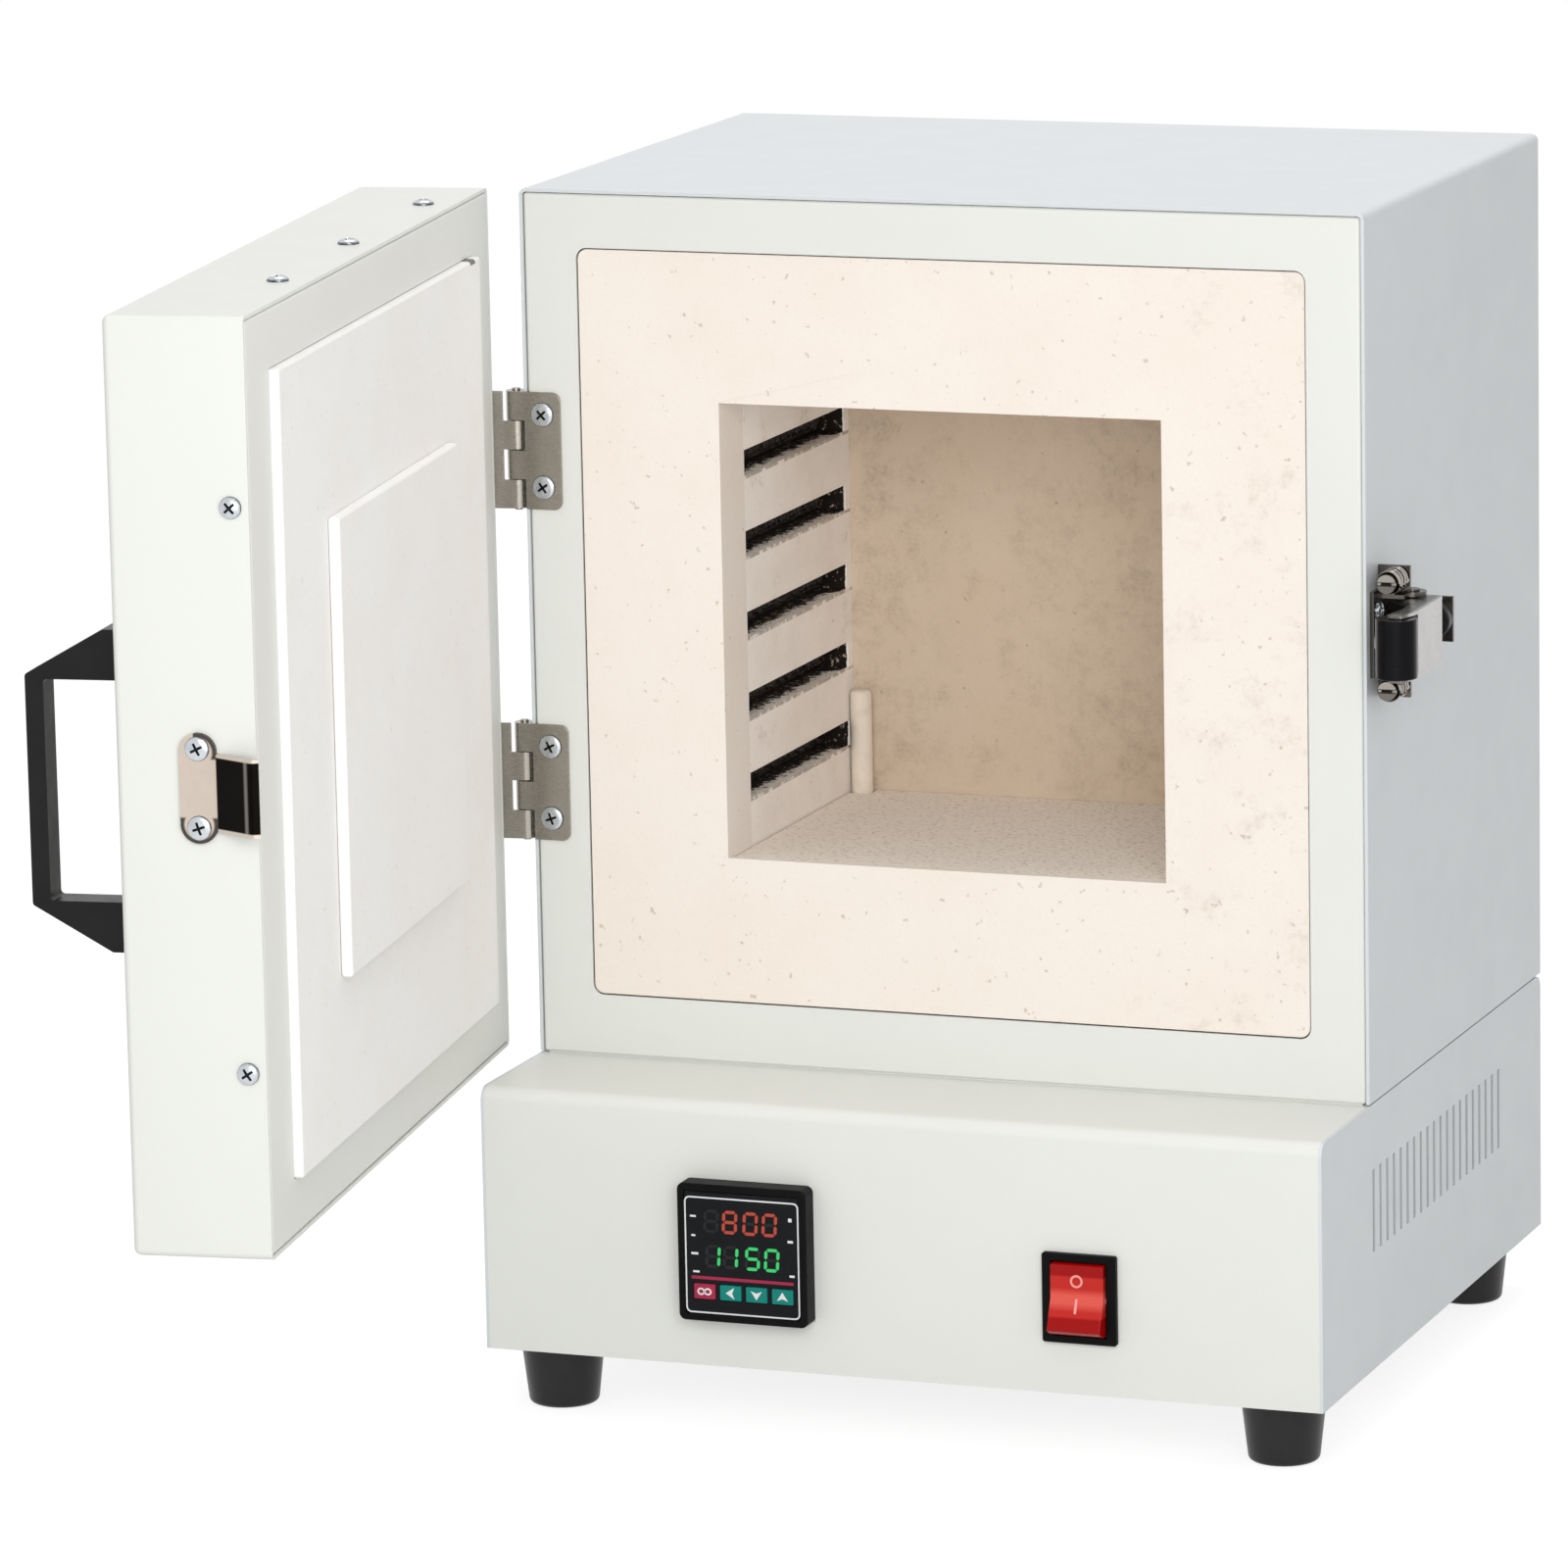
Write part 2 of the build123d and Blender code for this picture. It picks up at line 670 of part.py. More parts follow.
def make_controller():
    """Panel instrument: bezel and case in one moulding, a face plate and four push keys."""
    bezel = block(
        about(bezel_x, bezel_width), (bezel_front, front_y), about(base_z + bezel_z, bezel_height)
    )
    bezel = fillet(bezel.edges().filter_by(Axis.Y), bezel_corner)
    bezel = chamfer(bezel.faces().sort_by(Axis.Y)[0].edges(), face_sink)
    case = bezel + block(controller_x, (front_y, front_y + case_depth), controller_z)
    face_x = about(bezel_x, bezel_width - 2 * face_border)
    face_z = about(base_z + bezel_z, bezel_height - 2 * face_border)
    well_back = face_front + face_thickness
    case -= block(face_x, (bezel_front, well_back), face_z)
    plate = block(
        (face_x[0] + panel_gap, face_x[1] - panel_gap),
        (face_front, well_back),
        (face_z[0] + panel_gap, face_z[1] - panel_gap),
    )
    for n in range(key_count):
        key_x = about(bezel_left + key_first_x + n * key_pitch, key_width)
        key_span = about(bezel_low + key_z, key_height)
        key_front = face_front - key_proud
        key_back = key_front + key_thickness
        parts[key_names[n]] = block(key_x, (key_front, key_back), key_span)
        pocket = block(
            (key_x[0] - key_gap, key_x[1] + key_gap),
            (face_front - sheet, key_back + key_travel + key_gap),
            (key_span[0] - key_gap, key_span[1] + key_gap),
        )
        plate -= pocket
        case -= pocket
    parts["controller_case"] = case
    parts["controller_face"] = plate


rocker_y = front_y - switch_proud + rocker_axis_depth
rocker_z = base_z + switch_z
rocker_axis = Pos(switch_x, rocker_y, rocker_z)


def make_switch():
    """Snap-in rocker switch: its rocker turns on two stubs and rests with its lower pad in."""
    frame = block(
        about(switch_x, switch_width), (front_y - switch_proud, front_y), about(rocker_z, switch_height)
    )
    frame = fillet(frame.edges().filter_by(Axis.Y), switch_corner)
    frame = chamfer(frame.faces().sort_by(Axis.Y)[0].edges(), switch_corner / 2)
    frame += block(switch_case_x, (front_y, front_y + switch_case_depth), switch_case_z)
    well_half = rocker_radius + rocker_gap
    frame -= block(
        about(switch_x, rocker_width + 2 * rocker_gap),
        (front_y - 2 * switch_proud, rocker_y + well_half),
        (rocker_z - well_half, rocker_z + well_half),
    )
    stub = rod((-rocker_width / 2 - rocker_stub_length, 0, 0), (1, 0, 0), rocker_stub_radius, rocker_width + 2 * rocker_stub_length)
    bore = rod(
        (-rocker_width / 2 - rocker_stub_length - rocker_gap, 0, 0),
        (1, 0, 0),
        rocker_stub_radius + running_gap,
        rocker_width + 2 * rocker_stub_length + 2 * rocker_gap,
    )
    frame -= rocker_axis * bore
    parts["switch_frame"] = frame

    tip = math.radians(rocker_tip_angle)
    tip_y = -rocker_radius * math.sin(tip)
    tip_z = rocker_radius * math.cos(tip)
    dip_y = -rocker_axis_depth - rocker_dip
    valley = Polyline((tip_y, tip_z), (dip_y, 0), (tip_y, -tip_z))
    lower_tip = (math.sqrt(rocker_radius**2 - rocker_floor**2), rocker_floor)
    side_low = RadiusArc((tip_y, -tip_z), (lower_tip[1], -lower_tip[0]), -rocker_radius)
    floor = Line((lower_tip[1], -lower_tip[0]), (lower_tip[1], lower_tip[0]))
    side_high = RadiusArc((lower_tip[1], lower_tip[0]), (tip_y, tip_z), -rocker_radius)
    profile = make_face([*valley.edges(), side_low, floor, side_high])
    rocker = extrude(side_face(-rocker_width / 2) * profile, rocker_width) + stub
    parts["switch_rocker"] = rocker_axis * Rot(-rocker_throw, 0, 0) * rocker


def make_electrics():
    """Relay on its finned sink, a terminal strip, and the gland for the mains lead."""
    floor_top = base_z + sheet
    sink_x = about(relay_x, sink_width)
    sink_y = about(relay_y, sink_length)
    sink = block(sink_x, sink_y, (floor_top + sink_height - sink_plate, floor_top + sink_height))
    fin_step = (sink_width - sink_fin) / (sink_fin_count - 1)
    for n in range(sink_fin_count):
        fin_x = sink_x[0] + n * fin_step
        sink += block((fin_x, fin_x + sink_fin), sink_y, (floor_top, floor_top + sink_height))
    parts["relay_heat_sink"] = sink
    relay_low = floor_top + sink_height
    relay = block(
        about(relay_x, relay_width), about(relay_y, relay_length), (relay_low, relay_low + relay_height)
    )
    parts["solid_state_relay"] = chamfer(relay.faces().sort_by(Axis.Z)[-1].edges(), sheet)

    strip_x = about(terminal_x, terminal_count * terminal_pitch)
    strip = block(strip_x, about(terminal_y, terminal_depth), (floor_top, floor_top + terminal_height))
    for n in range(terminal_count):
        bay = about(strip_x[0] + (n + 0.5) * terminal_pitch, terminal_pitch - 2 * sheet)
        for y in about(terminal_y, terminal_depth):
            strip -= block(bay, about(y, terminal_depth / 2), (floor_top + terminal_height / 2, floor_top + 2 * terminal_height))
    parts["terminal_strip"] = strip

    centre_z = base_z + gland_z
    hexagon = extrude(
        front_face(back_y + gland_hex_thickness) * Pos(gland_x, centre_z) * RegularPolygon(gland_hex_across / 2, 6, major_radius=False),
        gland_hex_thickness,
    )
    dome = rod((gland_x, back_y + gland_hex_thickness, centre_z), (0, 1, 0), gland_dome_radius, gland_dome_length)
    dome = fillet(dome.edges().group_by(Axis.Y)[-1], gland_dome_radius / 3)
    thread = rod((gland_x, back_y - sheet - gland_inner_length, centre_z), (0, 1, 0), gland_thread_radius, sheet + gland_inner_length)
    nut = extrude(
        front_face(back_y - sheet) * Pos(gland_x, centre_z) * RegularPolygon(gland_hex_across / 2, 6, major_radius=False),
        gland_hex_thickness,
    )
    gland = hexagon + dome + thread + nut
    mouth_y = back_y + gland_hex_thickness + gland_dome_length
    gland -= rod((gland_x, mouth_y - gland_bore_depth, centre_z), (0, 1, 0), gland_bore_radius, gland_bore_depth)
    parts["cord_gland"] = gland


# ---------------------------------------------------------------- hinges

knuckle_length = (hinge_height - (knuckle_count - 1) * knuckle_gap) / knuckle_count


def knuckle_range(n):
    """Height range of knuckle n, counted from the top, about the hinge's middle."""
    high = hinge_height / 2 - n * (knuckle_length + knuckle_gap)
    return (high - knuckle_length, high)


def hinge_leaf_part(width, screw_reach, own, cutback):
    """Leaf along +X from the pin's axis, its outer face on the knuckles' tangent at -Y."""
    reach_y = (-knuckle_radius, -knuckle_radius + hinge_leaf)
    half = hinge_height / 2
    leaf = block((0, width), reach_y, (-half, half))
    far = leaf.edges().filter_by(Axis.Y).group_by(Axis.X)[-1]
    leaf = fillet(far, leaf_corner)
    for n in range(knuckle_count):
        z = knuckle_range(n)
        if n % 2 == own:
            leaf += rod((0, 0, z[0]), (0, 0, 1), knuckle_radius, knuckle_length)
        else:
            low = -half - 1 if n == knuckle_count - 1 else z[0] - knuckle_gap
            high = half + 1 if n == 0 else z[1] + knuckle_gap
            leaf -= block((-sheet, cutback), (-2 * knuckle_radius, 0), (low, high))
    for dz in (-hinge_screw_spread / 2, hinge_screw_spread / 2):
        leaf -= rod((screw_reach, -knuckle_radius - 1, dz), (0, 1, 0), screw_hole_radius, 3 * hinge_leaf)
    leaf -= rod((0, 0, -half), (0, 0, 1), hinge_pin_radius + running_gap, hinge_height)
    return leaf


def make_hinges():
    """Two butt hinges: four interleaved knuckles, two leaves and a pin each."""
    pins = []
    body_leaf = hinge_leaf_part(leaf_width, hinge_screw_reach, 0, leaf_cutback)
    door_leaf = hinge_leaf_part(door_leaf_width, door_screw_reach, 1, leaf_cutback)
    door_leaf = Rot(0, 0, -90) * mirror(door_leaf, Plane.XZ)
    for name, z in zip(("lower", "upper"), hinge_centres):
        place = Pos(pin_x, pin_y, deck_z + z)
        parts[f"hinge_{name}_body_leaf"] = place * body_leaf
        parts[f"hinge_{name}_door_leaf"] = opened(place * door_leaf)
        low = deck_z + z - hinge_height / 2 - hinge_pin_proud
        pins.append(rod((pin_x, pin_y, low), (0, 0, 1), hinge_pin_radius, hinge_height + 2 * hinge_pin_proud))
    parts["hinge_pins"] = Compound(pins)


# ---------------------------------------------------------------- door

def make_door():
    """Outer tray, rim frame, blanket, stepped insulation boards and their screws."""
    door_x = (door_left, door_right)
    shell = pan(door_x, (door_front_y, rim_y), (door_low, door_high), True, door_bend)
    rim_x = (door_left + sheet + seam, door_right - sheet - seam)
    rim_z = (door_low + sheet + seam, door_high - sheet - seam)
    rim = pan(rim_x, (rim_y - flange_depth, rim_y), rim_z, False, sheet)
    window = block(
        (step_x[0] - fit_gap, step_x[1] + fit_gap), (rim_y - 2 * sheet, rim_y + sheet),
        (step_z[0] - fit_gap, step_z[1] + fit_gap),
    )
    rim -= window
    step_back = rim_y + step_proud - step_depth
    step = block(step_x, (step_back, rim_y + step_proud), step_z)
    plug_y = (rim_y + step_proud, rim_y + step_proud + plug_proud)
    plug = block(
        about(0, opening_width - 2 * plug_clearance), plug_y,
        about(deck_z + opening_centre, opening_height - 2 * plug_clearance),
    )
    blanket = block(
        (rim_x[0] + sheet + fit_gap, rim_x[1] - sheet - fit_gap),
        (door_front_y + sheet, step_back),
        (rim_z[0] + sheet + fit_gap, rim_z[1] - sheet - fit_gap),
    )

    screws = []
    for x in top_screw_places:
        for z, up in ((door_high, 1), (door_low, -1)):
            seat = (door_left + x, rim_y - top_screw_depth, z)
            screws.append((seat, (0, 0, up), screw_head_radius))
    for z in side_screw_places:
        seat = (door_right, rim_y - side_screw_depth, deck_z + z)
        screws.append((seat, (1, 0, 0), screw_head_radius))
    for dz in (-strike_screw_spread / 2, strike_screw_spread / 2):
        seat = (door_right + strike_sheet, rim_y - strike_depth, strike_z + dz)
        screws.append((seat, (1, 0, 0), strike_screw_radius))
    for z in hinge_centres:
        for dz in (-hinge_screw_spread / 2, hinge_screw_spread / 2):
            seat = (door_left - hinge_leaf, pin_y - door_screw_reach, deck_z + z + dz)
            screws.append((seat, (-1, 0, 0), hinge_screw_radius))
    handle_seats = [
        (door_right - handle_inset, door_front_y + sheet, deck_z + handle_centre + side * (handle_length + handle_gap) / 4)
        for side in (-1, 1)
    ]
    for seat, outward, _ in screws:
        shell -= screw_hole(seat, outward)
        rim -= screw_hole(seat, outward)
        blanket -= screw_hole(seat, outward)
    made = [pan_screw(seat, outward, radius) for seat, outward, radius in screws]
    for seat in handle_seats:
        shell -= screw_hole(seat, (0, 1, 0))
        blanket -= rod((seat[0], seat[1], seat[2]), (0, 1, 0), screw_head_radius + fit_gap, screw_head_height + fit_gap)
        made.append(pan_screw(seat, (0, 1, 0), length=handle_screw_length))

    parts["door_shell"] = opened(shell)
    parts["door_rim"] = opened(rim)
    parts["door_blanket"] = opened(blanket)
    parts["door_step_board"] = opened(step)
    parts["door_plug"] = opened(plug)
    parts["door_screws"] = opened(Compound(made))
    make_handle(handle_seats)


def make_handle(seats):
    """Moulded bridge handle: square inside, sloped outside from its feet to the bar."""
    half = handle_length / 2
    bar_half = handle_bar_length / 2
    outer = Polyline(
        (0, -half), (handle_foot, -half), (handle_standoff, -bar_half),
        (handle_standoff, bar_half), (handle_foot, half), (0, half), close=True,
    )
    gap = drawn_box((0, handle_standoff - handle_bar), about(0, handle_gap))
    profile = make_face(outer) - gap
    middle = (door_right - handle_inset, door_front_y, deck_z + handle_centre)
    plane = Plane(middle, x_dir=(0, -1, 0), z_dir=(1, 0, 0))
    # local x runs out from the door; local y is then world -Z, and the profile is symmetric
    handle = extrude(plane * profile, handle_width / 2, both=True)
    outside = handle.edges().filter_by(Axis.X).sort_by(Axis.Y)[:4]
    handle = fillet(outside, handle_round)
    for seat in seats:
        handle -= rod(seat, (0, -1, 0), screw_hole_radius, handle_screw_length + fit_gap)
    parts["door_handle"] = opened(handle)


# ---------------------------------------------------------------- strike and catch

roller_x = half_width + roller_reach
roller_y = face_y - roller_front
pivot_x = half_width + pivot_reach
pivot_y = face_y + pivot_back
arm_inner = roller_height / 2 + arm_gap
arm_outer = arm_inner + arm_sheet
ear_inner = arm_outer + bracket_gap
ear_outer = ear_inner + bracket_sheet
spring_pitch = 1.75 * spring_wire


def make_strike():
    """Plate on the door's free edge; its tab slopes out just behind the roller and curls in."""
    plate_x = door_right + strike_sheet
    centre_y = rim_y - strike_depth
    outline = side_face(door_right) * Pos(centre_y, strike_z) * Rot(0, 0, 90) * SlotOverall(strike_length, strike_width)
    strike = extrude(outline, strike_sheet)
    angle = math.radians(strike_slope)
    along = Vector(math.sin(angle), math.cos(angle))
    normal = Vector(math.cos(angle), -math.sin(angle))
    touch = Vector(roller_x, roller_y) - normal * (roller_radius + strike_clearance + strike_sheet / 2)
    mid_x = plate_x - strike_sheet / 2
    root = touch - along * ((touch.X - mid_x) / along.X)
    crest = touch + along * strike_run_on
    lip = crest + Vector(-strike_curl / 2, strike_curl)
    line = FilletPolyline((mid_x, centre_y), (root.X, root.Y), (crest.X, crest.Y), (lip.X, lip.Y), radius=strike_sheet)
    tab = trace(line, line_width=strike_sheet)
    tab_low = strike_z - strike_tab_drop - strike_tab_height / 2
    strike += extrude(Pos(0, 0, tab_low) * tab, strike_tab_height)
    for dz in (-strike_screw_spread / 2, strike_screw_spread / 2):
        strike -= screw_hole((plate_x, centre_y, strike_z + dz), (1, 0, 0))
    parts["door_strike"] = opened(strike)


def make_catch():
    """Bracket with two ears, a pivot pin, two sprung adjusters, and a channel arm with a roller."""
    bracket_y = (face_y + bracket_front, face_y + bracket_back)
    bracket = block((half_width, half_width + bracket_sheet), bracket_y, about(catch_z, 2 * (ear_outer + bracket_lip)))
    ear_y = (pivot_y - ear_front, pivot_y + pivot_boss)
    lug_y = (face_y + lug_front, face_y + lug_front + bracket_sheet)
    for side in (-1, 1):
        ear = drawn_box((half_width, pivot_x), ear_y)
        ear += Pos(pivot_x, pivot_y) * Circle(pivot_boss)
        low = catch_z + min(side * ear_inner, side * ear_outer)
        bracket += extrude(Pos(0, 0, low) * ear, bracket_sheet)
        lug_z = sorted((catch_z + side * ear_inner, catch_z + side * (adjuster_offset + spring_radius + ear_outer)))
        bracket += block((half_width, half_width + lug_reach), lug_y, lug_z)
    flange_reach = half_width + buffer_reach + buffer_radius
    bracket += block(
        (half_width, flange_reach), (bracket_y[1] - bracket_sheet, bracket_y[1]),
        about(catch_z, 2 * bracket_flange_half),
    )
    pivot_low = catch_z - ear_outer - pivot_head_height
    pivot_length = 2 * (catch_z - pivot_low)
    pivot_bore = rod((pivot_x, pivot_y, pivot_low), (0, 0, 1), pivot_radius + running_gap, pivot_length)
    bracket -= pivot_bore
    catch_seats = [
        (half_width + bracket_sheet, face_y + catch_screw_back, catch_z + dz)
        for dz in (-catch_screw_spread / 2, catch_screw_spread / 2)
    ]
    for seat in catch_seats:
        bracket -= screw_hole(seat, (1, 0, 0))
        parts["casing_wrap"] -= screw_hole(seat, (1, 0, 0))
        parts["casing_front_frame"] -= screw_hole(seat, (1, 0, 0))

    adjusters = []
    springs = []
    head_y = lug_y[0] - spring_turns * spring_pitch - spring_gap - adjuster_head_height
    spring_y = head_y + adjuster_head_height + spring_gap
    spring_length = lug_y[0] - spring_y
    ring = Rot(90, 0, 0) * Torus(spring_radius - spring_wire / 2, spring_wire / 2)
    for side in (-1, 1):
        x = half_width + adjuster_reach
        z = catch_z + side * (ear_outer + adjuster_offset)
        screw = rod((x, head_y, z), (0, 1, 0), adjuster_head_radius, adjuster_head_height)
        slot_y = (head_y, head_y + adjuster_head_height / 2)
        screw -= block(about(x, 3 * adjuster_head_radius), slot_y, about(z, adjuster_head_height / 2))
        adjusters.append(screw + rod((x, head_y, z), (0, 1, 0), adjuster_radius, lug_y[1] + adjuster_tail - head_y))
        bracket -= rod((x, lug_y[0], z), (0, 1, 0), adjuster_radius + running_gap, bracket_sheet)
        coil = rod((x, spring_y, z), (0, 1, 0), spring_radius - spring_wire / 4, spring_length)
        coil -= rod((x, spring_y, z), (0, 1, 0), spring_radius - spring_wire * 3 / 4, spring_length)
        for n in range(spring_turns):
            coil += Pos(x, spring_y + (n + 0.5) * spring_pitch, z) * ring
        springs.append(coil)
    parts["catch_bracket"] = bracket
    parts["catch_adjusters"] = Compound(adjusters)
    parts["catch_springs"] = Compound(springs)
    buffer_place = (half_width + buffer_reach, bracket_y[1] - bracket_sheet - buffer_length, catch_z)
    parts["catch_buffer"] = rod(buffer_place, (0, 1, 0), buffer_radius, buffer_length)

    pivot = rod((pivot_x, pivot_y, pivot_low), (0, 0, 1), pivot_radius, pivot_length)
    for z in (pivot_low, pivot_low + pivot_length - pivot_head_height):
        pivot += rod((pivot_x, pivot_y, z), (0, 0, 1), pivot_head_radius, pivot_head_height)
    parts["catch_pivot"] = pivot

    web_x = roller_x + arm_web_reach
    outline = Polyline(
        (pivot_x - pivot_boss, pivot_y + arm_tail),
        (pivot_x - pivot_boss, pivot_y - arm_heel),
        (roller_x - arm_neck, pivot_y - arm_throat),
        (roller_x - arm_neck, roller_y + arm_web_start + 1),
        (roller_x - arm_nose + 0.5, roller_y - arm_nose + 0.3),
        (roller_x + arm_nose, roller_y - arm_nose),
        (web_x, roller_y + arm_web_start - 0.5),
        (web_x, pivot_y + arm_tail),
        close=True,
    )
    cheek = make_face(outline)
    cheek = fillet(cheek.vertices(), arm_round)
    arm = extrude(Pos(0, 0, catch_z + arm_inner) * cheek, arm_sheet)
    arm += extrude(Pos(0, 0, catch_z - arm_outer) * cheek, arm_sheet)
    web_y = (roller_y + arm_web_start, pivot_y + arm_tail - arm_round)
    arm += block((web_x - arm_sheet, web_x), web_y, (catch_z - arm_outer, catch_z + arm_outer))
    arm -= pivot_bore
    arm += rod((roller_x, roller_y, catch_z - arm_outer - bracket_gap / 2), (0, 0, 1), roller_pin_radius, 2 * arm_outer + bracket_gap)
    parts["catch_arm"] = arm
    roller = rod((roller_x, roller_y, catch_z - roller_height / 2), (0, 0, 1), roller_radius, roller_height)
    roller = chamfer(roller.edges().filter_by(GeomType.CIRCLE), arm_gap)
    roller -= rod((roller_x, roller_y, catch_z - roller_height / 2), (0, 0, 1), roller_pin_radius + running_gap, roller_height)
    parts["catch_roller"] = roller

    screws = [pan_screw(seat, (1, 0, 0), strike_screw_radius) for seat in catch_seats]
    for place in back_screws:
        screws.append(pan_screw(place, (0, 1, 0)))
    for place in underside_screws:
        screws.append(pan_screw(place, (0, 0, -1)))
    for z in hinge_centres:
        for dz in (-hinge_screw_spread / 2, hinge_screw_spread / 2):
            seat = (pin_x + hinge_screw_reach, face_y - hinge_leaf, deck_z + z + dz)
            screws.append(pan_screw(seat, (0, -1, 0), hinge_screw_radius))
    parts["casing_screws"] = Compound(screws)


make_base()
make_feet()
make_casing()
make_chamber()
make_controller()
make_switch()
make_electrics()
make_hinges()
make_door()
make_strike()
make_catch()

os.makedirs("parts", exist_ok=True)
for name, shape in parts.items():
    shape.label = name
    export_step(shape, f"parts/{name}.step")
print(len(parts), "pieces written")
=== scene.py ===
import json
import math

import bmesh
import bpy
import numpy as np
from mathutils import Matrix, Vector
from mathutils.bvhtree import BVHTree

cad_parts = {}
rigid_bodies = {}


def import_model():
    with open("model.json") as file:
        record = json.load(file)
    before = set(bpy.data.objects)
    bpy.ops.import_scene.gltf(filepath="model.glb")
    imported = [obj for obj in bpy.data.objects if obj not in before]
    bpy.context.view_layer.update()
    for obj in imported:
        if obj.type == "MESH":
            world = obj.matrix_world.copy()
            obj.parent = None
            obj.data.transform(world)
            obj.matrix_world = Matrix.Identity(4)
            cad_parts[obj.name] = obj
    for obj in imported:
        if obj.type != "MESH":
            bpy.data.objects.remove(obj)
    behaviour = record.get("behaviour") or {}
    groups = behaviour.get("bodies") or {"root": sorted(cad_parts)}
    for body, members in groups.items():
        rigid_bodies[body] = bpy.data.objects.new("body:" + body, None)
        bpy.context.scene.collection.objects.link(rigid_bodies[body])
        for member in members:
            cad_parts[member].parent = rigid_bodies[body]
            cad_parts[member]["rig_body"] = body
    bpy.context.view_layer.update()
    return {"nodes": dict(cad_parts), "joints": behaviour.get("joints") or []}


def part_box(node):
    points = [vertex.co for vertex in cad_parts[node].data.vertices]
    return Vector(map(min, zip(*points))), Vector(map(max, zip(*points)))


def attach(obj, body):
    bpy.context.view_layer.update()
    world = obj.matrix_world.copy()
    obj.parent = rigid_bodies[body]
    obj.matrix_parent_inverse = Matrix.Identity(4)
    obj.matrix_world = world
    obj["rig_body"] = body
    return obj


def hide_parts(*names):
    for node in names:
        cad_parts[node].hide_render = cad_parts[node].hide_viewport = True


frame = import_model()
cadNodes = frame["nodes"]
print("frame loaded,", len(cadNodes), "nodes")

# places read from the solids
mm = 0.001
casingLow, casingHigh = (np.array(v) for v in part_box("casing_wrap"))
caseLow = np.array(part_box("controller_case")[0])
faceLow = np.array(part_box("controller_face")[0])
deckZ, casingY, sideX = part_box("base_wrap")[1].z, casingLow[1], casingHigh[0]
doorJoint = next(j for j in frame["joints"] if j["name"] == "door_swing")
doorPin = np.array(doorJoint["pos_m"][:2])
doorTurn = math.radians(-doorJoint["range_deg"][1])
slottedPlates = ("base_left_side", "base_right_side", "base_floor")


def openDoor(points):
    # a point of the closed door turns about the hinge pins by the angle the door stands open
    c, s = math.cos(doorTurn), math.sin(doorTurn)
    points = np.asarray(points, float)
    dx, dy = points[..., 0] - doorPin[0], points[..., 1] - doorPin[1]
    turned = [doorPin[0] + c * dx - s * dy, doorPin[1] + s * dx + c * dy, points[..., 2]]
    return np.stack(turned, -1)


# making meshes
def gridFaces(rows, columns, loopRows=False, loopColumns=False):
    # quads between neighbouring rows and columns of a grid; a looped side joins its last line to its first
    i = np.arange(rows if loopRows else rows - 1)[:, None]
    j = np.arange(columns if loopColumns else columns - 1)[None, :]
    a, b = i * columns + j, ((i + 1) % rows) * columns + j
    c, d = ((i + 1) % rows) * columns + (j + 1) % columns, i * columns + (j + 1) % columns
    return np.stack([a, b, c, d], -1).reshape(-1, 4)


def joined(pieces):
    # several (points, faces) surfaces as one, each set of faces counted on from the points before it
    starts = np.cumsum([0] + [p.reshape(-1, 3).shape[0] for p, f in pieces])
    points = np.concatenate([p.reshape(-1, 3) for p, f in pieces])
    faces = np.concatenate([f + s for (p, f), s in zip(pieces, starts)])
    return points, faces


def tidyMesh(mesh, weld=2e-6, outward=True):
    # doubles merged and, for a closed surface, its faces turned outwards
    work = bmesh.new()
    work.from_mesh(mesh)
    bmesh.ops.remove_doubles(work, verts=work.verts, dist=weld)
    if outward:
        bmesh.ops.recalc_face_normals(work, faces=work.faces)
    work.to_mesh(mesh)
    work.free()


def putPiece(name, surface, body, finish, weld=2e-6, crease=40.0, shade=None):
    # a new piece from (points, faces), welded, turned outwards and smooth up to the crease angle;
    # shade is a number for each point
    points, faces = surface
    mesh = bpy.data.meshes.new(name)
    mesh.from_pydata(points.reshape(-1, 3).tolist(), [], faces.tolist())
    mesh.update()
    if shade is not None:
        shades = mesh.attributes.new("shade", "FLOAT", "POINT")
        shades.data.foreach_set("value", np.asarray(shade, np.float32).ravel())
    tidyMesh(mesh, weld)
    mesh.shade_smooth()
    mesh.set_sharp_from_angle(angle=math.radians(crease))
    piece = bpy.data.objects.new(name, mesh)
    bpy.context.scene.collection.objects.link(piece)
    mesh.materials.append(finish)
    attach(piece, body)
    return piece


def finishedNode(node, finish, bevel=0.3, crease=35.0, segments=2):
    # a smooth copy of a solid: welded, flat areas dissolved to single faces unless slotted,
    # sharp edges rounded by the bevel in mm
    source = cadNodes[node]
    mesh = source.data.copy()
    mesh.name = node + "Finish"
    mesh.materials.clear()
    work = bmesh.new()
    work.from_mesh(mesh)
    bmesh.ops.remove_doubles(work, verts=work.verts, dist=2e-6)
    if node not in slottedPlates:
        bmesh.ops.dissolve_limit(
            work, angle_limit=math.radians(0.5), verts=work.verts, edges=work.edges, delimit={"NORMAL"}
        )
    work.to_mesh(mesh)
    work.free()
    if mesh.attributes.get("custom_normal"):
        mesh.attributes.remove(mesh.attributes["custom_normal"])
    mesh.shade_smooth()
    mesh.set_sharp_from_angle(angle=math.radians(crease))
    mesh.materials.append(finish)
    piece = bpy.data.objects.new(node + "Finish", mesh)
    bpy.context.scene.collection.objects.link(piece)
    if bevel:
        rounding = piece.modifiers.new("roundedEdges", "BEVEL")
        rounding.width = bevel * mm
        rounding.segments = segments
        rounding.limit_method = "ANGLE"
        rounding.angle_limit = math.radians(crease)
        rounding.harden_normals = True
        rounding.miter_outer = "MITER_ARC"
    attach(piece, source["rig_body"])
    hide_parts(node)
    return piece


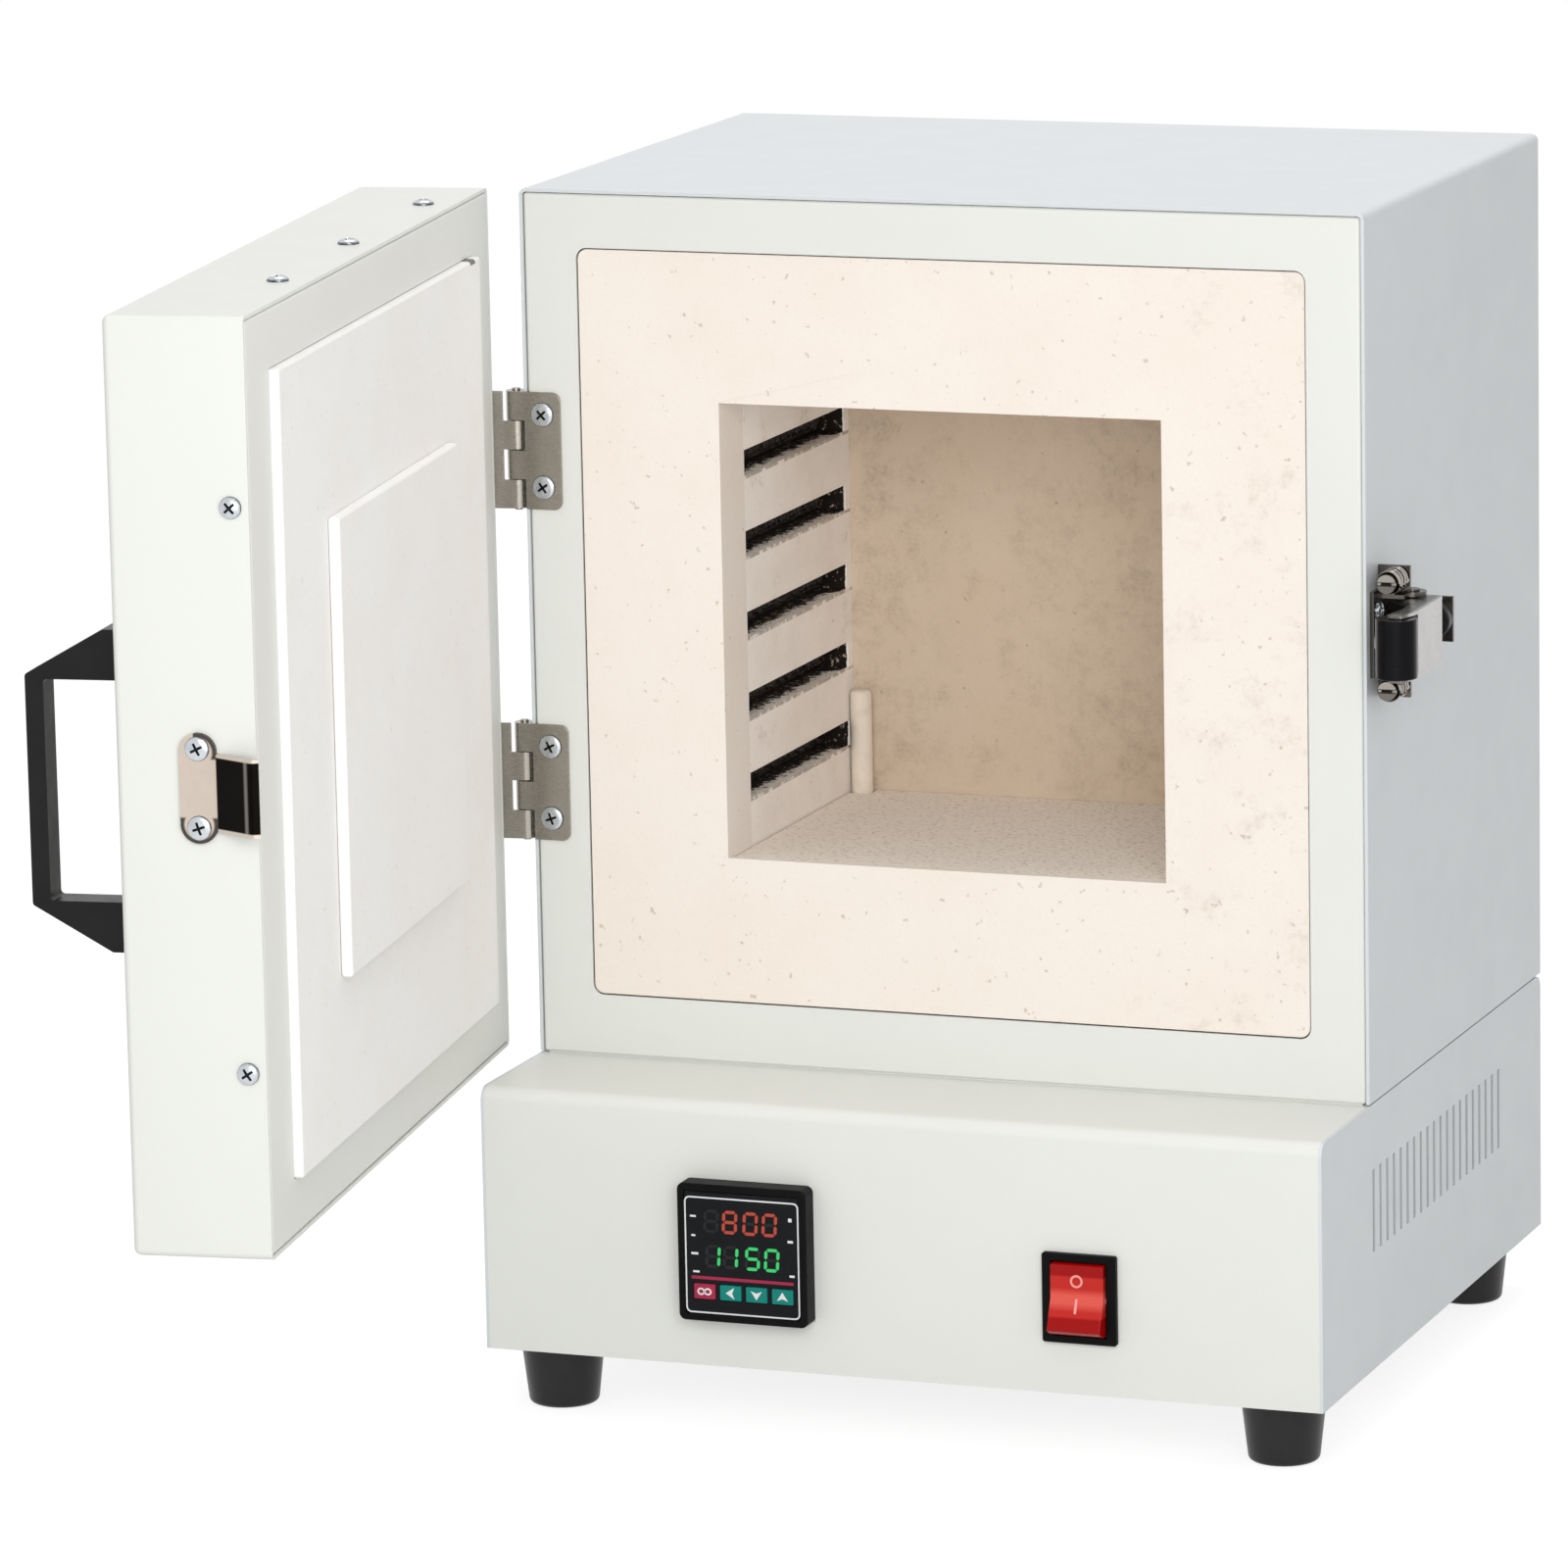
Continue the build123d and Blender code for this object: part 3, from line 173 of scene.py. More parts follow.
def tube(path, radius, sides=10):
    # a round bar along a path: each ring is the path's point plus the radius times (cos a, sin a) across it
    path = np.asarray(path, float)
    along = np.gradient(path, axis=0)
    along /= np.linalg.norm(along, axis=1, keepdims=True)
    guide = np.where(np.abs(along[:, 2:3]) > 0.9, [[1.0, 0, 0]], [[0, 0, 1.0]])
    across = np.cross(along, guide)
    across /= np.linalg.norm(across, axis=1, keepdims=True)
    up = np.cross(across, along)
    a = np.linspace(0, 2 * np.pi, sides, endpoint=False)
    circle = np.cos(a)[None, :, None] * across[:, None] + np.sin(a)[None, :, None] * up[:, None]
    rings = path[:, None] + radius * circle
    ends = [np.repeat(path[:1, None], sides, 1), rings, np.repeat(path[-1:, None], sides, 1)]
    rings = np.concatenate([ends[0], rings, ends[2]])
    return rings, gridFaces(len(rings), sides, loopColumns=True)


def turned(profile, place, axis, sides=48):
    # a profile of (distance from the axis, height along it) carried round that axis
    axis = np.asarray(axis, float) / np.linalg.norm(axis)
    guide = np.array([1.0, 0, 0]) if abs(axis[0]) < 0.9 else np.array([0, 1.0, 0])
    u = np.cross(axis, guide)
    u /= np.linalg.norm(u)
    v = np.cross(axis, u)
    a = np.linspace(0, 2 * np.pi, sides, endpoint=False)[None, :, None]
    profile = np.asarray(profile, float)
    r, h = profile[:, 0][:, None, None], profile[:, 1][:, None, None]
    points = np.asarray(place, float) + r * (np.cos(a) * u + np.sin(a) * v) + h * axis
    return points, gridFaces(len(profile), sides, loopColumns=True)


def slab(outline, place, u, v, thickness):
    # a flat shape drawn by a closed outline in (u, v), given a thickness along u x v;
    # its top and bottom close on its middle
    outline = np.asarray(outline, float)
    u, v = np.asarray(u, float), np.asarray(v, float)
    normal = np.cross(u, v)
    flat = np.asarray(place, float) + outline[:, :1] * u + outline[:, 1:] * v
    middle = np.broadcast_to(flat.mean(0), flat.shape)
    rows = np.stack([middle, flat, flat + thickness * normal, middle + thickness * normal])
    return rows, gridFaces(4, len(outline), loopColumns=True)


def bar(low, high):
    # a box between two corners as a ring of four sides closed at both ends
    x = np.array([low[0], high[0], high[0], low[0]])
    y = np.array([low[1], low[1], high[1], high[1]])
    ring = [np.stack([x, y, np.full(4, z)], -1) for z in (low[2], high[2])]
    ends = [np.repeat(r.mean(0)[None], 4, 0) for r in ring]
    rows = np.stack([ends[0], ring[0], ring[1], ends[1]])
    return rows, gridFaces(4, 4, loopColumns=True)


# finishes
class Finish:
    # a material built up in layers: each call adds nodes in front of the shader's colour, roughness or normal

    def __init__(self, name, colour, roughness=0.5, metallic=0.0, coat=0.0):
        self.material = bpy.data.materials.new(name)
        self.material.use_nodes = True
        self.tree = self.material.node_tree
        self.shader = self.tree.nodes["Principled BSDF"]
        self.shader.inputs["Base Color"].default_value = (*colour, 1)
        self.shader.inputs["Roughness"].default_value = roughness
        self.shader.inputs["Metallic"].default_value = metallic
        self.shader.inputs["Coat Weight"].default_value = coat
        self.shader.inputs["Coat Roughness"].default_value = 0.12
        self.place = self.tree.nodes.new("ShaderNodeTexCoord").outputs["Object"]
        self.colour, self.rough, self.normal = (*colour, 1), roughness, None

    def add(self, kind, **values):
        # a node with its settings, or its sockets where a setting has no such name
        made = self.tree.nodes.new(kind)
        for key, value in values.items():
            if hasattr(made, key):
                setattr(made, key, value)
            else:
                made.inputs[key].default_value = value
        return made

    def link(self, source, target):
        self.tree.links.new(source, target)

    def pattern(self, scale, detail=3.0, rough=0.6, kind="noise", stretch=(1, 1, 1), distortion=0.0):
        # a noise or cell pattern at so many cycles a metre, stretched along the axes
        mapping = self.add("ShaderNodeMapping")
        mapping.inputs["Scale"].default_value = stretch
        self.link(self.place, mapping.inputs["Vector"])
        if kind == "noise":
            made = self.add("ShaderNodeTexNoise", Scale=scale, Detail=detail, Roughness=rough, Distortion=distortion)
            out = made.outputs["Fac"]
        else:
            made = self.add("ShaderNodeTexVoronoi", Scale=scale)
            out = made.outputs["Distance"]
        self.link(mapping.outputs["Vector"], made.inputs["Vector"])
        return out

    def band(self, axis, low, high, soft):
        # 1 between two places along an axis, fading over a soft width
        split = self.add("ShaderNodeSeparateXYZ")
        self.link(self.place, split.inputs[0])
        out = split.outputs["XYZ".index(axis)]
        rise = self.ramp(out, low - soft, low)
        fall = self.ramp(out, high, high + soft, 1.0, 0.0)
        return self.times(rise, fall)

    def shade(self):
        # the number stored at each point of the mesh
        return self.add("ShaderNodeAttribute", attribute_name="shade").outputs["Fac"]

    def arithmetic(self, operation, *values):
        # one step of arithmetic on outputs and plain numbers
        made = self.add("ShaderNodeMath", operation=operation)
        for value, target in zip(values, made.inputs):
            if isinstance(value, float):
                target.default_value = value
            else:
                self.link(value, target)
        return made.outputs[0]

    def times(self, a, b):
        return self.arithmetic("MULTIPLY", a, b)

    def ramp(self, source, low, high, start=0.0, end=1.0):
        # a straight change from start to end while the source goes from low to high
        made = self.add("ShaderNodeMapRange")
        for key, value in zip(("From Min", "From Max", "To Min", "To Max"), (low, high, start, end)):
            made.inputs[key].default_value = value
        self.link(source, made.inputs["Value"])
        return made.outputs["Result"]

    def tint(self, mask, colour):
        # mixes a colour over what is there, by the mask
        made = self.add("ShaderNodeMix", data_type="RGBA")
        self.link(mask, made.inputs[0])
        if isinstance(self.colour, tuple):
            made.inputs[6].default_value = self.colour
        else:
            self.link(self.colour, made.inputs[6])
        made.inputs[7].default_value = (*colour, 1)
        self.colour = made.outputs[2]
        self.link(self.colour, self.shader.inputs["Base Color"])
        return self

    def shine(self, source, low, high):
        # roughness from low to high over the middle half of a pattern
        self.link(self.ramp(source, 0.25, 0.75, low, high), self.shader.inputs["Roughness"])
        return self

    def relief(self, source, depth, strength=1.0):
        # raises and sinks the surface by a depth in mm
        made = self.add("ShaderNodeBump", Strength=strength, Distance=depth * mm)
        self.link(source, made.inputs["Height"])
        if self.normal:
            self.link(self.normal, made.inputs["Normal"])
        self.normal = made.outputs["Normal"]
        self.link(self.normal, self.shader.inputs["Normal"])
        return self

    def glow(self, colour, strength):
        # light given off evenly by the whole surface
        self.shader.inputs["Emission Color"].default_value = (*colour, 1)
        self.shader.inputs["Emission Strength"].default_value = strength
        return self


def powderCoat(name, colour):
    # satin powder coat: fine orange peel, a broad mottle and a few duller patches
    coat = Finish(name, colour, 0.42)
    mottle = coat.pattern(14, 4, 0.55)
    coat.tint(coat.ramp(mottle, 0.35, 0.75, 0.0, 0.5), tuple(c * 0.965 for c in colour))
    specks = coat.pattern(2600, 1, 0.5)
    coat.tint(coat.ramp(specks, 0.62, 0.8, 0.0, 0.35), tuple(c * 0.93 for c in colour))
    coat.shine(coat.pattern(60, 3, 0.6), 0.36, 0.48)
    coat.relief(coat.pattern(1100, 2, 0.55), 0.035, 0.55)
    return coat.material


def firedBoard(name, colour, stain, stains=(), grain=0.12, mottleScale=22, chipShade=False):
    # pressed ceramic fibre: felted grain, fired patches, and stains that gather in the given bands
    board = Finish(name, colour, 0.92)
    board.shader.inputs["Specular IOR Level"].default_value = 0.25
    broad = board.pattern(mottleScale, 5, 0.62)
    board.tint(board.ramp(broad, 0.42, 0.75, 0.0, 0.55), tuple(np.array(colour) * (0.97, 0.93, 0.87)))
    felt = board.pattern(900, 4, 0.7)
    board.tint(board.ramp(felt, 0.5, 0.85, 0.0, 0.5), tuple(np.array(colour) * (0.9, 0.86, 0.8)))
    pits = board.pattern(330, 2, 0.5)
    board.tint(board.ramp(pits, 0.69, 0.76, 0.0, 0.5), stain)
    for axis, low, high, soft, level, scale in stains:
        cloud = board.ramp(board.pattern(scale, 8, 0.8), level, level + 0.2, 0.0, 0.5)
        speck = board.ramp(board.pattern(scale * 9, 5, 0.75), 0.4, 0.62, 0.25, 1.0)
        board.tint(board.times(board.times(cloud, speck), board.band(axis, low, high, soft)), stain)
    if chipShade:
        # a small dark notch in the upper edge, near the hinges: painted shade of the notch's hollow
        start, end = (openDoor((x, casingY, 0))[1] for x in (sideX - 0.2725, sideX - 0.2785))
        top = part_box("door_step_board")[1].z
        across = board.band("Y", min(start, end), max(start, end), 0.0008)
        nickShade = board.times(across, board.band("Z", top - 0.0012, top + 0.001, 0.0005))
        board.tint(board.ramp(nickShade, 0, 1, 0, 0.85), (0.09, 0.085, 0.08))
    board.relief(broad, 0.5, 0.35)
    board.relief(felt, grain, 0.8)
    board.relief(pits, 0.3, 0.3)
    return board.material


def brushedMetal(name, colour, roughness=0.28, stretch=(1, 1, 9), scratches=500):
    # plated sheet: fine drawn lines, cloudy plating and small handling marks
    metal = Finish(name, colour, roughness, 1.0)
    lines = metal.pattern(scratches, 3, 0.6, stretch=stretch)
    clouds = metal.pattern(90, 4, 0.6)
    metal.tint(metal.ramp(clouds, 0.35, 0.75, 0.0, 0.45), tuple(c * 0.82 for c in colour))
    metal.shine(lines, roughness - 0.05, roughness + 0.09)
    metal.relief(lines, 0.01, 0.35)
    return metal.material


def mouldedPlastic(name, colour, roughness=0.45, texture=0.02, fine=1800, specular=0.5):
    # moulded plastic: spark-eroded texture and slight changes of sheen
    plastic = Finish(name, colour, roughness)
    plastic.shader.inputs["Specular IOR Level"].default_value = specular
    cloud = plastic.pattern(70, 3, 0.6)
    plastic.tint(plastic.ramp(cloud, 0.4, 0.8, 0.0, 0.4), tuple(c * 1.35 + 0.004 for c in colour))
    plastic.shine(cloud, roughness - 0.05, roughness + 0.06)
    plastic.relief(plastic.pattern(fine, 2, 0.5), texture, 0.6)
    return plastic.material


paint = powderCoat("offWhitePowderCoat", (0.75, 0.76, 0.72))
# a darker, bluer copy of the powder coat for the side panels and the casing's wrap: painted shade of the sides
shadedSidePaint = powderCoat("offWhitePowderCoatShadedSide", (0.655, 0.685, 0.70))
stainBrown = (0.42, 0.29, 0.19)
collarBoard = firedBoard(
    "collarBoard", (0.87, 0.80, 0.735), stainBrown,
    [("X", 0.095, 0.2, 0.03, 0.53, 38), ("Z", deckZ, deckZ + 0.04, 0.02, 0.62, 30), ("X", -0.2, -0.12, 0.02, 0.62, 40)],
)


def scorchedAndShadedWalls():
    # the heater walls: board that is charred black round the coils, with painted shade over the charring inside the
    # slots, out to a torn edge, and a broken dark line along each slot's lower lip; depths are metres beyond the wall's
    # inner face
    wallLow, wallHigh = (np.array(v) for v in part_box("chamber_right_wall"))
    roomLow = np.array(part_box("heater_coils_right")[0])
    board = Finish("chamberWallBoard", (0.95, 0.895, 0.845), 0.92)
    board.shader.inputs["Specular IOR Level"].default_value = 0.25
    felt = board.pattern(900, 4, 0.7)
    broad = board.pattern(30, 5, 0.65)
    board.tint(board.ramp(broad, 0.42, 0.75, 0.0, 0.5), (0.80, 0.71, 0.62))
    board.tint(board.ramp(felt, 0.5, 0.85, 0.0, 0.5), (0.76, 0.67, 0.57))
    smudge = board.ramp(board.pattern(60, 7, 0.75), 0.6, 0.75, 0.0, 0.5)
    board.tint(smudge, (0.45, 0.33, 0.24))
    split = board.add("ShaderNodeSeparateXYZ")
    board.link(board.place, split.inputs[0])
    depth = board.arithmetic("ABSOLUTE", split.outputs["X"])

    def deeper(source, start, end, low=0.0, high=1.0):
        return board.ramp(source, wallLow[0] + start, wallLow[0] + end, low, high)

    torn = board.arithmetic("MULTIPLY_ADD", board.pattern(330, 6, 0.8), scorchAndShade["ragged"], depth)
    slotBack = wallHigh[1] - coilStyle["slotEnd"] * mm
    nearBack = board.ramp(split.outputs["Y"], slotBack - 0.010, slotBack - 0.002)
    charAndShadeReach = board.arithmetic("ADD", board.times(nearBack, deeper(depth, 0.0004, 0.0010, 0.0, scorchAndShade["rearCharAndShade"])), torn)
    inSlot = deeper(depth, scorchAndShade["slotDepth"], scorchAndShade["slotDepth"] + 0.0005, 1.0, 0.0)
    # charring with painted shade over it: near black inside each slot, out to a ragged torn edge
    charAndShade = board.times(deeper(charAndShadeReach, scorchAndShade["edge"], scorchAndShade["edge"] + 0.0008), inSlot)
    board.tint(charAndShade, (0.014, 0.009, 0.006))
    crumbs = board.times(board.ramp(board.pattern(520, 3, 0.7), 0.60, 0.64, 0.0, 0.75), charAndShade)
    board.tint(board.times(crumbs, deeper(depth, 0.009, 0.012, 1.0, 0.0)), (0.62, 0.52, 0.43))
    # a thin broken dark line along each slot's lower lip
    lip = deeper(depth, 0.0002, 0.0005, 1.0, 0.0)
    for n in range(coilStyle["count"]):
        z = roomLow[2] - 0.00015 + n * coilStyle["rise"] * mm
        line = board.times(board.band("Z", z - 0.0009, z - 0.0001, 0.0003), lip)
        broken = board.ramp(board.pattern(260, 3, 0.7), 0.38, 0.52, 0.0, 0.6)
        board.tint(board.times(line, broken), (0.16, 0.11, 0.075))
    board.relief(felt, 0.12, 0.8)
    board.relief(broad, 0.5, 0.3)
    return board.material


# metres beyond the inner face for the charring and painted shade in the slots; ragged is how far its torn edge wanders
scorchAndShade = {"ragged": 0.024, "edge": 0.0159, "rearCharAndShade": 0.008, "slotDepth": 0.0163}
coilStyle = {
    "wire": 0.65, "pitch": 2.5, "sides": 7, "steps": 14, "wander": 0.45, "endGap": 2.0, "slotEnd": 5.0,
    "count": 5, "rise": 29.1, "lead": 1.4,
}
wallBoard = scorchedAndShadedWalls()
backBoard = firedBoard(
    "chamberBackBoard", (0.66, 0.54, 0.42), (0.28, 0.20, 0.13),
    [("X", 0.02, 0.2, 0.05, 0.46, 42), ("X", -0.2, 0.2, 0.02, 0.52, 80), ("X", -0.2, -0.06, 0.02, 0.46, 60)],
    mottleScale=16,
)
plugBoard = firedBoard("doorBoard", (0.90, 0.895, 0.885), (0.72, 0.68, 0.62), grain=0.16, chipShade=True)
blanketWool = firedBoard("fibreBlanket", (0.86, 0.86, 0.84), (0.7, 0.68, 0.62), grain=0.4)

hearthGrit = Finish("hearthGrit", (0.93, 0.85, 0.765), 0.95)
grit = hearthGrit.pattern(620, 3, 0.75)
grains = hearthGrit.pattern(480, kind="cells")
hearthGrit.tint(hearthGrit.ramp(grit, 0.5, 0.66, 0.0, 0.7), (0.9, 0.86, 0.79))
hearthGrit.tint(hearthGrit.ramp(hearthGrit.pattern(520, 2, 0.6), 0.54, 0.68, 0.0, 0.5), (0.46, 0.38, 0.30))
hearthGrit.relief(grains, 0.6, 0.6)
hearthGrit.relief(grit, 0.5, 0.8)

nickel = brushedMetal("satinNickel", (0.37, 0.345, 0.305), 0.24)
# the catch bracket and pivot are nickel painted near black: a painted dark reflection
catchNickelDarkReflection = brushedMetal("catchNickelDarkReflection", (0.12, 0.11, 0.10), 0.18, (1, 1, 5), 260)

# each adjuster has painted shade for a driver slot across its head, painted shade under the slot and painted shade
# behind the head
adjusterLow, adjusterHigh = (np.array(v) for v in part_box("catch_adjusters"))
adjuster = Finish("adjusterNickel", (0.34, 0.315, 0.285), 0.2, 1.0)
headHalf = (adjusterHigh[0] - adjusterLow[0]) / 2
headFront = adjuster.band("Y", adjusterLow[1] - 0.001, adjusterLow[1] + 0.0002, 0.0002)
for z in (adjusterLow[2] + headHalf, adjusterHigh[2] - headHalf):
    driverSlotShade = adjuster.times(headFront, adjuster.band("Z", z - 0.0006, z + 0.0006, 0.0003))
    adjuster.tint(driverSlotShade, (0.010, 0.009, 0.008))
    shadeUnderHead = adjuster.times(headFront, adjuster.band("Z", z - 0.01, z - 0.0009, 0.0012))
    adjuster.tint(adjuster.ramp(shadeUnderHead, 0, 1, 0, 0.6), (0.05, 0.045, 0.04))
neckShade = adjuster.band("Y", adjusterLow[1] + 0.0022, adjusterHigh[1] + 0.001, 0.0005)
adjuster.tint(adjuster.ramp(neckShade, 0, 1, 0, 0.85), (0.02, 0.018, 0.016))
adjusterNickel = adjuster.material

# the arm's outer web is satin and its two cheeks carry a painted dark reflection, with a cloudy plating
armLow, armHigh = (np.array(v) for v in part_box("catch_arm"))
armNickel = Finish("armNickel", (0.50, 0.49, 0.475), 0.26, 1.0)
armNickel.tint(armNickel.ramp(armNickel.pattern(90, 4, 0.6), 0.35, 0.75, 0.0, 0.5), (0.40, 0.39, 0.375))
cheekDarkReflection = armNickel.band("X", armLow[0] - 0.001, armHigh[0] - 0.0016, 0.0004)
armNickel.tint(armNickel.ramp(cheekDarkReflection, 0, 1, 0, 0.85), (0.14, 0.13, 0.12))
armNickel.shine(armNickel.pattern(300, 3, 0.6, stretch=(1, 1, 6)), 0.22, 0.36)
armNickel.relief(armNickel.pattern(500, 3, 0.6), 0.012, 0.35)
armNickel = armNickel.material
# the roller is polished steel painted near black: a painted dark reflection
darkSteel = brushedMetal("polishedRollerSteel", (0.012, 0.012, 0.014), 0.2, (1, 1, 12), 300)

zincPlate = Finish("zincPlate", (0.60, 0.63, 0.66), 0.24, 1.0)
zincPlate.tint(zincPlate.ramp(zincPlate.pattern(700, 3, 0.6), 0.35, 0.75, 0.0, 0.5), (0.42, 0.45, 0.48))
# the shade number darkens each screw's cross recess, edge and underside: painted shade
zincPlate.tint(zincPlate.shade(), (0.012, 0.013, 0.015))
zincPlate.shine(zincPlate.pattern(900, 2, 0.5), 0.2, 0.32)
zincPlate.relief(zincPlate.pattern(1200, 2, 0.5), 0.01, 0.4)
zinc = zincPlate.material

# the strike's plate is satin and its sprung tab is painted near black as a painted dark reflection, its rolled edges
# keep the brighter plate colour, with a painted glint along the crest;
# painted shade makes a dark crescent beside each screw. Sizes in mm on the closed door: sideways from the casing, back
# from its face
strikeStyle = {
    "foldSide": 4.5, "foldBack": 18.8, "endSide": 5.2, "endBack": 24.75, "endSpread": 11.9,
    "tabLow": 32.3, "tabHigh": 6.7, "tabLip": 1.3, "glintFrom": 12.8, "glintTo": 13.3, "shadeRadius": 4.7,
}
strikeLow, strikeHigh = (np.array(v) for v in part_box("door_strike"))
fold = openDoor((sideX + strikeStyle["foldSide"] * mm, casingY - strikeStyle["foldBack"] * mm, 0))[0]
tabLow, tabHigh = strikeHigh[2] - strikeStyle["tabLow"] * mm, strikeHigh[2] - strikeStyle["tabHigh"] * mm
strike = Finish("strikeNickel", (0.62, 0.53, 0.455), 0.3, 1.0)
strike.tint(strike.ramp(strike.pattern(160, 4, 0.6), 0.35, 0.75, 0.0, 0.5), (0.56, 0.49, 0.43))
lip = strikeStyle["tabLip"] * mm
tabHeight = strike.band("Z", tabLow + lip, tabHigh - lip, 0.0004)
# the tab, between its rolled lips, is painted near black: a painted dark reflection
tabDarkReflection = strike.times(strike.band("X", fold + 0.0006, fold + 0.05, 0.0003), tabHeight)
strike.tint(tabDarkReflection, (0.006, 0.005, 0.004))
# a painted glint: a lighter stripe along the tab's crest
crest = strike.band("X", fold + strikeStyle["glintFrom"] * mm, fold + strikeStyle["glintTo"] * mm, 0.0008)
glint = strike.times(crest, strike.band("Z", tabLow, tabHigh, 0.001))
strike.tint(strike.ramp(glint, 0, 1, 0, 0.35), (0.5, 0.47, 0.43))
# painted shade: a dark crescent on the plate past the end of each screw
for side, reach in ((-1, 0.01), (1, 0.001)):
    endZ = (strikeLow[2] + strikeHigh[2]) / 2 + side * strikeStyle["endSpread"] * mm
    end = openDoor((sideX + strikeStyle["endSide"] * mm, casingY - strikeStyle["endBack"] * mm, endZ))
    far = strike.add("ShaderNodeVectorMath", operation="DISTANCE")
    strike.link(strike.place, far.inputs[0])
    far.inputs[1].default_value = tuple(end)
    shadeRadius = strikeStyle["shadeRadius"] * mm
    crescentShade = strike.ramp(far.outputs["Value"], shadeRadius, shadeRadius + 0.0006, 0.0, 0.9)
    beyond = sorted((endZ - side * 0.002, endZ + side * 0.02))
    sector = strike.times(strike.band("Z", *beyond, 0.0006), strike.band("X", end[0] - reach, end[0] + 0.0061, 0.0004))
    strike.tint(strike.times(crescentShade, sector), (0.02, 0.018, 0.016))
strike.shine(strike.pattern(300, 3, 0.6), 0.26, 0.36)
strike.relief(strike.pattern(500, 3, 0.6), 0.012, 0.35)
strikeNickel = strike.material

# the spring wire carries painted shade on the inside and flanks of each turn, so it is bright only along the outside
springWire = Finish("springWire", (0.50, 0.46, 0.42), 0.18, 1.0)
springWire.tint(springWire.shade(), (0.010, 0.009, 0.008))
springWire = springWire.material

millAluminium = brushedMetal("millAluminium", (0.72, 0.73, 0.74), 0.35, (9, 1, 1), 400)
rubber = mouldedPlastic("footRubber", (0.010, 0.010, 0.011), 0.34, 0.015, 900, 0.3)
blackPlastic = mouldedPlastic("bezelPlastic", (0.003, 0.003, 0.0033), 0.42, 0.02, 1800, 0.07)
handlePlastic = mouldedPlastic("handlePlastic", (0.006, 0.006, 0.0065), 0.36, 0.03, 1800, 0.2)
whitePlastic = mouldedPlastic("relayPlastic", (0.78, 0.78, 0.75), 0.45)
windowPlastic = mouldedPlastic("displayWindow", (0.006, 0.0065, 0.008), 0.16, 0.002, 1800, 0.1)
keyCrimson = mouldedPlastic("keyCrimson", (0.34, 0.02, 0.06), 0.45, 0.01, 1800, 0.2)
keyTeal = mouldedPlastic("keyTeal", (0.003, 0.20, 0.165), 0.45, 0.01, 1800, 0.2)
rockerInk = mouldedPlastic("rockerInk", (0.80, 0.30, 0.27), 0.4, 0.005)
legendInk = mouldedPlastic("legendInk", (0.70, 0.72, 0.72), 0.5, 0.005)

coilScale = Finish("scaledWire", (0.022, 0.016, 0.013), 0.75, 0.2)
flakes = coilScale.pattern(1500, 3, 0.7)
coilScale.tint(coilScale.ramp(flakes, 0.55, 0.72, 0.0, 0.85), (0.34, 0.27, 0.21))
coilScale.relief(flakes, 0.15, 0.8)
coilScale = coilScale.material

sheathGlaze = Finish("sheathCeramic", (0.80, 0.715, 0.61), 0.7)
smoke = sheathGlaze.pattern(120, 4, 0.6)
sheathGlaze.tint(sheathGlaze.ramp(smoke, 0.5, 0.8, 0.0, 0.5), (0.58, 0.47, 0.36))
sheathGlaze.relief(sheathGlaze.pattern(700, 3, 0.6), 0.06, 0.6)
sheathGlaze = sheathGlaze.material
hearthGrit = hearthGrit.material

rockerMid = 0.5 * (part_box("switch_frame")[0].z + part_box("switch_frame")[1].z)
rockerRed = Finish("rockerRed", (0.33, 0.002, 0.002), 0.3, coat=0.06)
rockerRed.shader.inputs["Specular IOR Level"].default_value = 0.12
# two bands across the rocker's middle, a lighter red and a bright stripe: a painted reflection of the lamp
rockerRed.tint(rockerRed.band("Z", rockerMid - 0.0050, rockerMid + 0.0082, 0.0008), (0.52, 0.022, 0.017))
rockerRed.tint(rockerRed.band("Z", rockerMid - 0.0008, rockerMid + 0.0018, 0.0026), (0.72, 0.10, 0.075))
rockerRed.shine(rockerRed.pattern(200, 2, 0.5), 0.13, 0.2)
rockerRed.relief(rockerRed.pattern(160, 2, 0.5), 0.02, 0.3)
rockerRed = rockerRed.material


def litSegment(name, colour, strength):
    # a lit stroke of the display, faintly uneven and glowing by itself
    lit = Finish(name, tuple(c * 0.5 for c in colour), 0.35)
    cells = lit.pattern(1400, 2, 0.5)
    lit.tint(lit.ramp(cells, 0.4, 0.7, 0.0, 0.3), tuple(c * 0.35 for c in colour))
    lit.glow(colour, strength)
    return lit.material


redSegment = litSegment("redSegment", (0.52, 0.050, 0.018), 0.34)
greenSegment = litSegment("greenSegment", (0.025, 0.66, 0.15), 0.40)
unlitSegment = mouldedPlastic("unlitSegment", (0.016, 0.017, 0.018), 0.35, 0.003, 1800, 0.12)
print("finishes made")

